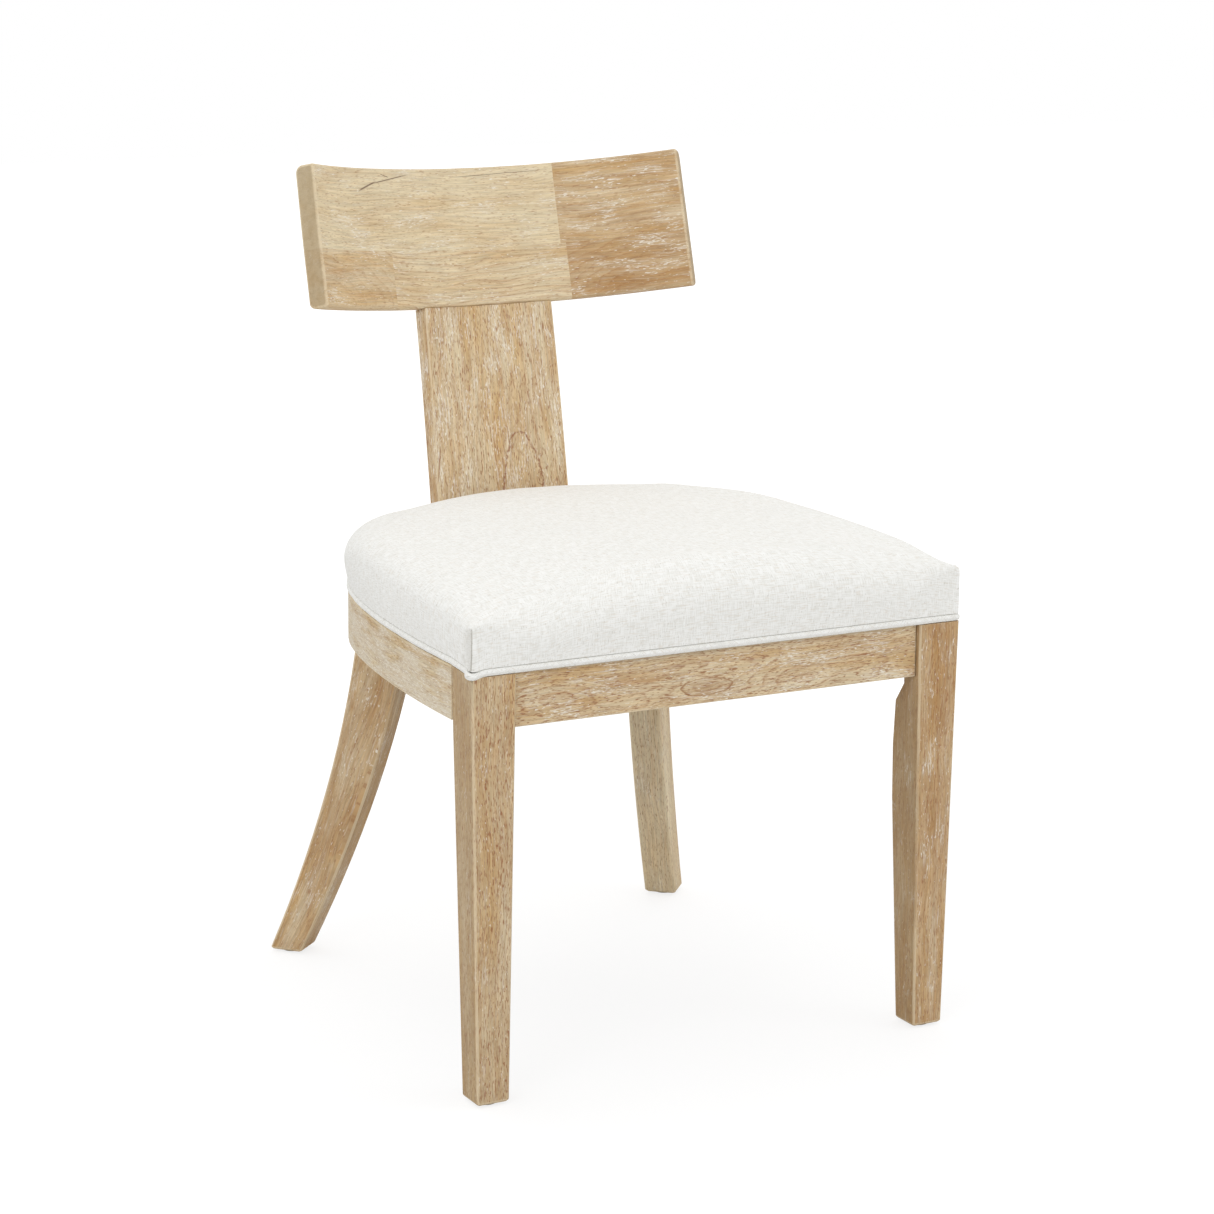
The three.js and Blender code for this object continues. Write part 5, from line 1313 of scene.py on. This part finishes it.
def filled(rim: np.ndarray, grid: np.ndarray) -> np.ndarray:
    """Fills a rim with a smooth patch.

    The patch blends the rim's opposite sides both ways and takes away the corners that both blends
    hold. The shares are those of the rim's own points, along its front in x and its left side in y,
    so the rows stay in order where the points crowd.

    Args:
        rim: points of the closed rim.
        grid: numbers of the patch's points, the rim's own on its edge.

    Returns:
        The points inside the rim, in the grid's order.
    """
    x, y = rim[grid[0], 0], rim[grid[:, 0], 1]
    u = ((x[1:-1] - x[0]) / (x[-1] - x[0]))[None, :, None]
    v = ((y[1:-1] - y[0]) / (y[-1] - y[0]))[:, None, None]
    front, back = rim[grid[0, 1:-1]][None], rim[grid[-1, 1:-1]][None]
    left, right = rim[grid[1:-1, 0]][:, None], rim[grid[1:-1, -1]][:, None]
    corners = (
        (1 - u) * (1 - v) * rim[grid[0, 0]]
        + u * (1 - v) * rim[grid[0, -1]]
        + (1 - u) * v * rim[grid[-1, 0]]
        + u * v * rim[grid[-1, -1]]
    )
    inside = (1 - v) * front + v * back + (1 - u) * left + u * right - corners
    return inside.reshape(-1, rim.shape[1])


@dataclass
class Cushion:
    """The linen cushion: boxed sides, a rounded edge and a crown, in millimetres above the frame.

    The front edge arches from low corners up to the crown, as a cover does that is pulled over a
    domed pad and folded at its corners.
    """

    front_height: float = 67.0
    back_height: float = 83.0
    front_arch: float = 37.0
    arch_power: float = 2.3
    corner_drop: float = 16.0
    right_rise: float = 3.0
    back_corner_drop: float = 8.0
    corner_spread: float = 48.0
    corner_roll: float = 4.3
    crown: float = 87.0
    crown_power: float = 2.4
    evening: int = 240
    roll: float = 20.0
    front_roll: float = 46.0
    back_corner_roll: float = 50.0
    back_corner_spread: float = 105.0
    bulge: float = 5.0
    foot: float = 440.95
    lip_bottom: float = 433.3
    lip_inset: float = 20.0
    groove: float = 6.5
    cloth: float = 1.2
    tip_out: float = 3.0
    tip_down: float = 1.2
    most_out: float = 1.6
    most_in: float = 0.5
    leaf_width: float = 21.0
    outline: SeatOutline = field(default_factory=SeatOutline)

    def rings(self, end_turn: np.ndarray | float) -> list[np.ndarray]:
        """Rings of the walls and the rounded edge, from the welt up to the crown's rim.

        Args:
            end_turn: how far the rounded edge turns, in radians.

        Returns:
            The rings' points.
        """
        plan = self.outline.ring(0.0)
        away = np.hypot(PLAN.half_front - np.abs(plan[:, 0]), plan[:, 1]) / self.corner_spread
        corner = np.exp(-(away**2))
        bend = self.outline.base[self.outline.side_steps - self.outline.corner_steps // 2]
        behind = np.hypot(bend[0] - np.abs(plan[:, 0]), bend[1] - plan[:, 1]) / self.back_corner_spread
        back_corner = np.exp(-(behind**2))
        in_front = np.exp(-((plan[:, 1] / 40.0) ** 2))
        roll = self.roll + (self.front_roll - self.roll) * in_front
        roll = roll + (self.corner_roll - roll) * corner
        roll = roll + (self.back_corner_roll - roll) * back_corner
        against = (plan[:, 1] > self.outline.depth / 2) & (np.abs(plan[:, 0]) < 84)
        bulge = np.where(against, 0.0, self.bulge * (1 - corner))
        height = self.front_height + (self.back_height - self.front_height) * plan[:, 1] / self.outline.depth
        arch = self.front_arch * (1 - (np.abs(plan[:, 0]) / PLAN.half_front) ** self.arch_power)
        before = 1 - smoothstep(plan[:, 1] / 6.0)
        # The right side stands a little higher than the left.
        right = smoothstep(plan[:, 0] / PLAN.half_front)
        drop = self.corner_drop - self.right_rise * right
        height = height + self.right_rise * right - drop * corner
        height = height - self.back_corner_drop * (1 - 0.6 * right) * back_corner
        front = self.front_height - self.corner_drop + 2 * self.right_rise * right + arch
        height = height * (1 - before) + front * before
        edge = RAIL_TOP + height
        tip = self.outline.tip()
        made = []
        wall = [(share, 0.0) for share in (0.0, 0.015, *np.linspace(0, 1, 9)[1:])]
        turned = [(1.0, share) for share in np.linspace(0, 1, 9)[1:]]
        for up, over in wall + turned:
            level = self.foot + (edge - roll - self.foot) * up
            level = level + roll * np.sin(over * end_turn)
            inset = roll * (1 - np.cos(over * end_turn))
            swell = bulge * np.sin(np.pi * (level - self.foot) / (edge - self.foot))
            # The cloth follows the welt where it droops at the left front corner.
            low = np.exp(-(level - self.foot) / 5.0) * (1 - over)
            swell = swell + self.tip_out * tip * low
            made.append(np.column_stack([self.outline.ring(inset - swell), level - self.tip_down * tip * low]))
        return made

    def crown_points(self, rim: np.ndarray, grid: np.ndarray) -> np.ndarray:
        """The crown inside its rim: the rim's own height blended to the top by a power of nearness.

        Nearness to the rim is one at it and falls to nothing in the middle: the root of one less
        sixteen times the product of how far across and how far back a point lies, each times what
        is left of it to one.
        """
        inside = filled(rim, grid)
        rows, columns = grid.shape
        place = inside.reshape(rows - 2, columns - 2, 3)
        left, right = rim[grid[1:-1, 0], 0][:, None], rim[grid[1:-1, -1], 0][:, None]
        front, back = rim[grid[0, 1:-1], 1][None], rim[grid[-1, 1:-1], 1][None]
        across = (place[..., 0] - left) / (right - left)
        depth = (place[..., 1] - front) / (back - front)
        near = 1 - 16 * across * (1 - across) * depth * (1 - depth)
        share = np.sqrt(near).ravel() ** self.crown_power
        inside[:, 2] = inside[:, 2] * share + (RAIL_TOP + self.crown) * (1 - share)
        # What the rounded corners add along the first rows is evened out: each point goes to the
        # mean of its four neighbours, again and again.
        net = np.vstack([rim, inside])[grid]
        for _ in range(self.evening):
            net[1:-1, 1:-1] = (net[:-2, 1:-1] + net[2:, 1:-1] + net[1:-1, :-2] + net[1:-1, 2:]) / 4
        return net[1:-1, 1:-1].reshape(-1, 3)

    def end_turn(self, rim: np.ndarray, crown: np.ndarray, grid: np.ndarray) -> np.ndarray:
        """How far the rounded edge turns before the crown's own slope takes over, in radians.

        Args:
            rim: the crown's rim.
            crown: the points inside it.
            grid: numbers of both, the rim's first.

        Returns:
            A right angle less the angle at which the crown leaves the rim, for each point of it.
        """
        spots = np.vstack([rim, crown])
        slope = np.zeros(len(rim))
        for edge, inner in ((grid[0], grid[2]), (grid[-1], grid[-3]), (grid[:, 0], grid[:, 2]), (grid[:, -1], grid[:, -3])):
            step = spots[inner[2:-2]] - spots[edge[2:-2]]
            slope[edge[2:-2]] = step[:, 2] / np.hypot(step[:, 0], step[:, 1])
        bell = np.exp(-np.linspace(-1.8, 1.8, 15) ** 2)
        around = np.convolve(np.concatenate([slope[-7:], slope, slope[:7]]), bell / bell.sum(), "valid")
        return math.pi / 2 - np.arctan(np.clip(around, 0.0, 0.6))

    def inflate(self, points: np.ndarray, faces: Sequence[Sequence[int]], held: int) -> np.ndarray:
        """Lets the cover settle as cloth over its filling, held along the welt.

        Args:
            points: the cover's points.
            faces: its faces.
            held: how many of the first points stay where they are.

        Returns:
            The settled points. The filling behind the cloth keeps each from moving in by much, and
            the cap keeps it from moving out by more than a linen cover gives.
        """
        trial = mesh_piece("cover_trial", to_frame(points), faces)
        face_outwards(trial)
        away = np.zeros(3 * len(points), np.float32)
        trial.data.vertex_normals.foreach_get("vector", away)
        away = away.reshape(-1, 3).astype(float)
        group = trial.vertex_groups.new(name="held")
        group.add(list(range(held)), 1.0, "REPLACE")
        cloth = trial.modifiers.new("cloth", "CLOTH")
        rules = cloth.settings
        rules.quality = 5
        rules.mass = 0.35
        rules.tension_stiffness = 30
        rules.compression_stiffness = 20
        rules.shear_stiffness = 8
        rules.bending_stiffness = 1.5
        rules.use_pressure = True
        rules.uniform_pressure_force = 4
        rules.effector_weights.gravity = 0
        rules.vertex_group_mass = "held"
        cloth.point_cache.frame_start = 1
        cloth.point_cache.frame_end = 20
        scene = bpy.context.scene
        for number in range(1, 21):
            scene.frame_set(number)
        settled = trial.evaluated_get(bpy.context.evaluated_depsgraph_get())
        flat = np.zeros(3 * len(settled.data.vertices), np.float32)
        settled.data.vertices.foreach_get("co", flat)
        moved = from_frame(flat.reshape(-1, 3).astype(float)) - points
        bpy.data.objects.remove(trial)
        scene.frame_set(1)
        size = np.linalg.norm(moved, axis=1)
        log.info("cover moved %.2f mm at most and %.2f mm on average", size.max(), size.mean())
        outward = evened(np.sum(moved * away, axis=1), faces)
        # It tends to each cap by a hyperbolic tangent, so that no flat spots show.
        cap = np.where(outward > 0, self.most_out, self.most_in)
        return points + away * (cap * np.tanh(outward / cap))[:, None]

    def build(self) -> bpy.types.Object:
        """Builds the cushion as one closed form with its lip under the board."""
        outline = self.outline
        upper = self.rings(math.pi / 2)
        count = outline.count
        grid = outline.patch()
        upper = self.rings(self.end_turn(upper[-1], self.crown_points(upper[-1], grid), grid))
        crown = self.crown_points(upper[-1], grid)
        last = (len(upper) - 1) * count
        top = np.where(grid < count, last + grid, grid - count + len(upper) * count)
        skin = np.vstack([*upper, crown])
        faces = [*grid_faces(len(upper), count, True), *patch_faces(top)]
        skin = self.inflate(skin, faces, 2 * count)
        skin, crease_shade = self.pleat(skin, len(upper))
        cloth = self.sheet_places(skin, len(upper))

        dip = self.tip_down * outline.tip()
        lower = [
            np.column_stack([outline.ring(0.9 - self.tip_out * outline.tip()), self.foot - dip]),
            np.column_stack([outline.ring(self.groove), np.full(count, self.foot)]),
            np.column_stack([outline.ring(self.groove), np.full(count, self.lip_bottom + 0.5)]),
            np.column_stack([outline.ring(self.groove + 0.5), np.full(count, self.lip_bottom)]),
            np.column_stack([outline.ring(self.lip_inset), np.full(count, self.lip_bottom)]),
            np.column_stack([outline.ring(self.lip_inset), np.full(count, self.lip_bottom + self.cloth)]),
        ]
        base = len(skin)
        points = np.vstack([skin, *lower])
        under = grid_faces(len(lower), count, True) + base
        seam = np.column_stack(
            [np.arange(count), (np.arange(count) + 1) % count, base + (np.arange(count) + 1) % count, base + np.arange(count)]
        )
        floor = base + (len(lower) - 1) * count
        bottom = filled(lower[-1], grid)
        bottom_grid = np.where(grid < count, floor + grid, grid - count + len(points))
        points = np.vstack([points, bottom])
        faces = [*faces, *under, *seam, *patch_faces(bottom_grid)]
        cloth = np.vstack([cloth, points[base:]])
        piece = mesh_piece("seat_cushion_linen", to_frame(points), faces)
        write_vectors(piece.data, "cloth", cloth * MM)
        write_floats(piece.data, "crease_shade", np.concatenate([crease_shade, np.zeros(len(points) - len(crease_shade))]))
        face_outwards(piece)
        finer = piece.modifiers.new("rounder", "SUBSURF")
        finer.levels = finer.render_levels = 1
        fit(piece, "linen", "seat_cover", "seat_foam")
        return piece

    def pleat(self, skin: np.ndarray, rows: int) -> tuple[np.ndarray, np.ndarray]:
        """Folds both front corners: the front's cloth laps over a leaf of the side's along an upright crease.

        The crease is a narrow bell of the distance from the corner. The leaf behind it is sunk, as
        wide as a sine of the height, and ends in a narrow ridge. The lap in front fades from the
        crease by a bell.

        Args:
            skin: the cover's points, ring after ring.
            rows: how many rings there are.

        Returns:
            The points with the folds, and how deep each lies in the crease, from 0 to 1, which the linen darkens as
            painted shade.
        """
        outline = self.outline
        count, corner = outline.count, outline.to_corner
        rings = skin[: rows * count].reshape(rows, count, 3).copy()
        plan = outline.ring(0.0)
        lengths = arc_lengths(plan)
        outward = -ring_normals(plan)
        share = np.clip(np.arange(rows) / (rows - 8.0), 0, 1)[:, None]
        wide = self.leaf_width * np.sin(np.pi * np.clip(share * 0.93 + 0.06, 0, 1)) ** 0.7 + 0.5
        fade = 1 - smoothstep((share - 0.86) / 0.14)
        crease_shade = np.zeros((rows, count))
        for middle, sign in ((corner, 1.0), (count - corner, -1.0)):
            place = sign * (lengths - lengths[middle])[None, :]
            shut = np.exp(-(((place - 1.3) / 0.8) ** 2))
            hem = (place > 0) * np.exp(-(((place - wide) / 0.9) ** 2))
            crease = -3.2 * shut
            leaf = -1.2 * smoothstep(place / 1.5) * (1 - smoothstep((place - wide * 0.6) / (wide * 0.4)))
            ridge = 1.0 * np.exp(-(((place - wide - 1.5) / 2.2) ** 2)) * (place > 0)
            lap = 0.9 * (place <= 0) * np.exp(-((place / 9.0) ** 2))
            push = fade * (crease + leaf + ridge + lap)
            rings[..., :2] += push[..., None] * outward
            # How deep each point lies in the crease, for the linen's painted shade.
            crease_shade = np.maximum(crease_shade, fade * np.maximum(shut, np.maximum(0.45 * hem, 0.22 * -leaf)))
        kept = np.zeros(len(skin) - rows * count)
        return np.vstack([rings.reshape(-1, 3), skin[rows * count :]]), np.concatenate([crease_shade.ravel(), kept])

    def sheet_places(self, skin: np.ndarray, rows: int) -> np.ndarray:
        """Where each point lies on the flat cloth: its plan on top, and further out down the walls."""
        outline = self.outline
        count, corner = outline.count, outline.to_corner
        rings = skin[: rows * count].reshape(rows, count, 3)
        steps = np.linalg.norm(np.diff(rings, axis=0), axis=2)
        down = np.vstack([np.cumsum(steps[::-1], axis=0)[::-1], np.zeros(count)])
        outward = -ring_normals(outline.ring(0.0))
        in_front = np.minimum(np.arange(count), count - np.arange(count)) <= corner
        outward[in_front] = (0.0, -1.0)
        places = np.zeros_like(rings)
        places[..., :2] = rings[-1, :, :2] + down[..., None] * outward
        flat_top = skin[rows * count :] * [1.0, 1.0, 0.0]
        return np.vstack([places.reshape(-1, 3), flat_top])

    def dress(self, piece: bpy.types.Object) -> None:
        """Dresses it in linen."""
        dress(piece, Linen("off_white_linen").build())


def evened(values: np.ndarray, faces: Sequence[Sequence[int]], rounds: int = 30) -> np.ndarray:
    """Evens a number out over a mesh: each round, every point takes the mean of its faces' means.

    Args:
        values: one number for each point.
        faces: the mesh's faces, four points each.
        rounds: how often it is done.

    Returns:
        The evened numbers.
    """
    corners = np.array(faces)
    shared = np.bincount(corners.ravel(), minlength=len(values))
    for _ in range(rounds):
        means = values[corners].mean(axis=1)
        values = np.bincount(corners.ravel(), np.repeat(means, 4), len(values)) / shared
    return values


def ring_normals(plan: np.ndarray) -> np.ndarray:
    """Unit normals into a closed plan ring that runs from the front by the right side."""
    step = np.roll(plan, -1, axis=0) - np.roll(plan, 1, axis=0)
    step /= np.linalg.norm(step, axis=1)[:, None]
    return np.stack([-step[:, 1], step[:, 0]], 1)


def patch_faces(grid: np.ndarray) -> list[tuple[int, int, int, int]]:
    """Faces of a grid of point numbers."""
    corners = (grid[:-1, :-1], grid[:-1, 1:], grid[1:, 1:], grid[1:, :-1])
    return list(zip(*(c.ravel().tolist() for c in corners)))


@dataclass
class Welt:
    """The piped edge round the foot of the cushion: a cord in a bias strip, in millimetres."""

    radius: float = 3.6
    inset: float = 2.2
    middle: float = 437.05
    sides: int = 16
    tip_out: float = 4.6
    tip_down: float = 2.2
    outline: SeatOutline = field(default_factory=SeatOutline)

    def build(self) -> bpy.types.Object:
        """Builds the tube: a circle carried round the outline, pinched out and down at the left front corner."""
        plan = self.outline.ring(self.inset)
        rim = self.outline.ring(0.0)
        tip = self.outline.tip()
        outward = -ring_normals(rim)
        lengths = arc_lengths(rim)
        uneven = 0.18 * np.sin(lengths * 0.07) + 0.12 * np.sin(lengths * 0.19 + 1.0)
        centre = plan + outward * (self.tip_out * tip + uneven)[:, None]
        level = self.middle - self.tip_down * tip
        angle = np.linspace(0, 2 * math.pi, self.sides, endpoint=False)
        out = self.radius * np.cos(angle)[None, :, None] * outward[:, None, :]
        up = self.radius * np.sin(angle)[None, :]
        points = np.concatenate([centre[:, None, :] + out, (level[:, None] + up)[..., None]], axis=-1)
        rows, columns = points.shape[:2]
        wrapped = np.vstack([np.arange(rows * columns).reshape(rows, columns), np.arange(columns)])
        wrapped = np.column_stack([wrapped, wrapped[:, 0]])
        piece = mesh_piece("seat_welt_linen", to_frame(points.reshape(-1, 3)), patch_faces(wrapped))
        around = np.broadcast_to(angle * self.radius, (rows, columns))
        along = np.broadcast_to(lengths[:, None], (rows, columns))
        flat = np.stack([along, around, np.zeros_like(around)], -1).reshape(-1, 3)
        write_vectors(piece.data, "cloth", flat * MM)
        face_outwards(piece)
        fit(piece, "linen", "seat_welt")
        return piece

    def dress(self, piece: bpy.types.Object) -> None:
        """Dresses it in the same linen, cut on the bias."""
        dress(piece, Linen("off_white_linen_bias", turned=45.0).build())


@dataclass
class DustCover:
    """Black cambric stretched under the seat board, in millimetres."""

    inset: float = 20.3
    level: float = 434.2
    sag: float = 1.6
    thickness: float = 0.5
    outline: SeatOutline = field(default_factory=SeatOutline)

    def build(self) -> bpy.types.Object:
        """Builds the sheet: a filled outline that sags a little between its edges."""
        rim = np.column_stack([self.outline.ring(self.inset), np.full(self.outline.count, self.level)])
        grid = self.outline.patch()
        inside = filled(rim, grid)
        rows, columns = grid.shape
        u = 2 * np.linspace(0, 1, columns)[None, 1:-1] - 1
        v = 2 * np.linspace(0, 1, rows)[1:-1, None] - 1
        hang = ((1 - u**2) * (1 - v**2)).ravel()
        ripple = 0.12 * np.sin(inside[:, 0] * 0.09 + inside[:, 1] * 0.03) * hang
        inside[:, 2] -= self.sag * hang + ripple
        points = np.vstack([rim, inside])
        # The face looks down, away from the board.
        faces = patch_faces(grid[::-1])
        piece = mesh_piece("dust_cover_cambric", to_frame(points), faces)
        wall = piece.modifiers.new("cloth_thickness", "SOLIDIFY")
        wall.thickness = self.thickness * MM
        wall.offset = 0.0
        fit(piece, "cambric", "dust_cover")
        return piece

    def dress(self, piece: bpy.types.Object) -> None:
        """Dresses it in cambric."""
        dress(piece, CAMBRIC.build())


# Fittings


@dataclass
class Fittings:
    """The carried-over pieces: seat board, dowels, screws, bolts and glides."""

    finishes: tuple[tuple[str, PlainFinish], ...] = (
        ("seat_board", PLYWOOD),
        ("dowel", BEECH),
        ("screw", ZINC_STEEL),
        ("bolt", ZINC_STEEL),
        ("glide", NYLON),
    )

    def dress(self) -> None:
        """Gives each carried-over node the finish that its name calls for."""
        for word, finish in self.finishes:
            material = finish.build() if finish.name not in bpy.data.materials else bpy.data.materials[finish.name]
            for name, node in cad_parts.items():
                if word in name:
                    dress(node, material)


# Studio


@dataclass
class Studio:
    """Pale floor, soft lamps and the camera."""

    camera_place: tuple[float, float, float] = (-1.6468, -3.0865, 1.2122)
    azimuth: float = math.radians(-28.457)
    elevation: float = math.radians(12.83)
    roll: float = math.radians(0.548)
    lens_mm: float = 100.72
    ambient: float = 0.82
    floor_white: float = 0.66

    def camera(self) -> None:
        """Sets the camera at the photograph's angle, tipped by its small roll."""
        data = bpy.data.cameras.new("camera")
        data.lens = self.lens_mm
        data.sensor_width = 36.0
        data.clip_start, data.clip_end = 0.05, 100.0
        camera = bpy.data.objects.new("camera", data)
        bpy.context.scene.collection.objects.link(camera)
        a, e = self.azimuth, self.elevation
        ahead = Vector((-math.sin(a) * math.cos(e), math.cos(a) * math.cos(e), -math.sin(e)))
        right = Vector((math.cos(a), math.sin(a), 0.0))
        above = right.cross(ahead)
        c, s = math.cos(self.roll), math.sin(self.roll)
        right, above = c * right + s * above, c * above - s * right
        turn = Matrix((right, above, -ahead)).transposed()
        camera.matrix_world = Matrix.Translation(self.camera_place) @ turn.to_4x4()
        bpy.context.scene.camera = camera

    def lamp(self, name: str, place: Sequence[float], target: Sequence[float], size: float, power: float) -> None:
        """Adds one square softbox.

        Args:
            name: its name.
            place: where it stands.
            target: the point that it faces.
            size: its side, in metres.
            power: in watts.
        """
        data = bpy.data.lights.new(name, "AREA")
        data.shape = "SQUARE"
        data.size = size
        data.energy = power
        lamp = bpy.data.objects.new(name, data)
        lamp.location = place
        lamp.rotation_mode = "QUATERNION"
        lamp.rotation_quaternion = (Vector(target) - Vector(place)).to_track_quat("-Z", "Y")
        bpy.context.scene.collection.objects.link(lamp)

    def world(self) -> None:
        """Makes the world: white to the eye and in reflections, plain and dimmer as a light."""
        world = bpy.data.worlds.new("studio_world")
        world.use_nodes = True
        tree = world.node_tree
        tree.nodes.clear()
        path = add_node(tree, "LightPath")
        glossy = add_node(
            tree, "Math", {0: path.outputs["Is Camera Ray"], 1: path.outputs["Is Glossy Ray"]}, operation="MAXIMUM"
        )
        seen = add_node(tree, "Math", {0: glossy, 1: path.outputs["Is Transmission Ray"]}, operation="MAXIMUM")
        white = add_node(tree, "Background", {"Color": (1.0, 1.0, 1.0, 1.0), "Strength": 1.0})
        plain = add_node(tree, "Background", {"Color": linear("FFFFFF"), "Strength": self.ambient})
        mixed = add_node(tree, "MixShader", {0: seen, 1: plain, 2: white})
        add_node(tree, "OutputWorld", {"Surface": mixed})
        bpy.context.scene.world = world

    def floor(self) -> None:
        """Lays a pale floor that reads white where it is lit and keeps the chair's soft shadow."""
        corners = np.array([[-9.0, -9.0, 0.0], [9.0, -9.0, 0.0], [9.0, 9.0, 0.0], [-9.0, 9.0, 0.0]])
        floor = mesh_piece("studio_floor", corners, [(0, 1, 2, 3)], smooth=False)
        material = bpy.data.materials.new("pale_studio_floor")
        material.use_nodes = True
        tree = material.node_tree
        tree.nodes.clear()
        path = add_node(tree, "LightPath")
        pale = add_node(tree, "BsdfDiffuse", {"Color": linear("E6E6E6")})
        white = add_node(tree, "Emission", {"Color": (1.0, 1.0, 1.0, 1.0), "Strength": 1.19})
        # The shadow shows near the chair and is lost in plain white further out.
        place = add_node(tree, "TexCoord").outputs["Object"]
        away = add_node(tree, "VectorMath", {0: place}, operation="LENGTH").outputs["Value"]
        far = add_node(tree, "MapRange", {0: away, 1: 0.55, 2: 1.5, 3: self.floor_white, 4: 1.0}, interpolation_type="SMOOTHSTEP")
        lifted = add_node(tree, "MixShader", {0: far, 1: pale, 2: white})
        seen = add_node(tree, "MixShader", {0: path.outputs["Is Camera Ray"], 1: pale, 2: lifted})
        add_node(tree, "OutputMaterial", {"Surface": seen})
        dress(floor, material)

    def build(self) -> None:
        """Sets up everything that the object is seen by."""
        bpy.context.scene.view_settings.view_transform = "Standard"
        self.camera()
        self.world()
        self.floor()
        self.lamp("key_softbox", (-2.9, -2.2, 2.4), (0.0, 0.0, 0.45), 1.8, 21.0)
        self.lamp("fill_softbox", (2.6, -2.3, 1.7), (0.0, 0.0, 0.45), 1.3, 9.0)
        self.lamp("top_softbox", (0.2, 0.5, 3.2), (0.0, 0.0, 0.4), 2.0, 12.0)


def main() -> None:
    """Builds the chair piece by piece, dresses it and sets up the studio."""
    logging.basicConfig(level=logging.INFO, format="%(name)s: %(message)s")
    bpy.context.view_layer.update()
    for part in (FrontLegs(), RearLegs(), SeatFrame(), CrestRail(), BackSplat(), Cushion(), Welt(), DustCover()):
        part.dress(part.build())
    Fittings().dress()
    Studio().build()


if __name__ == "__main__":
    main()
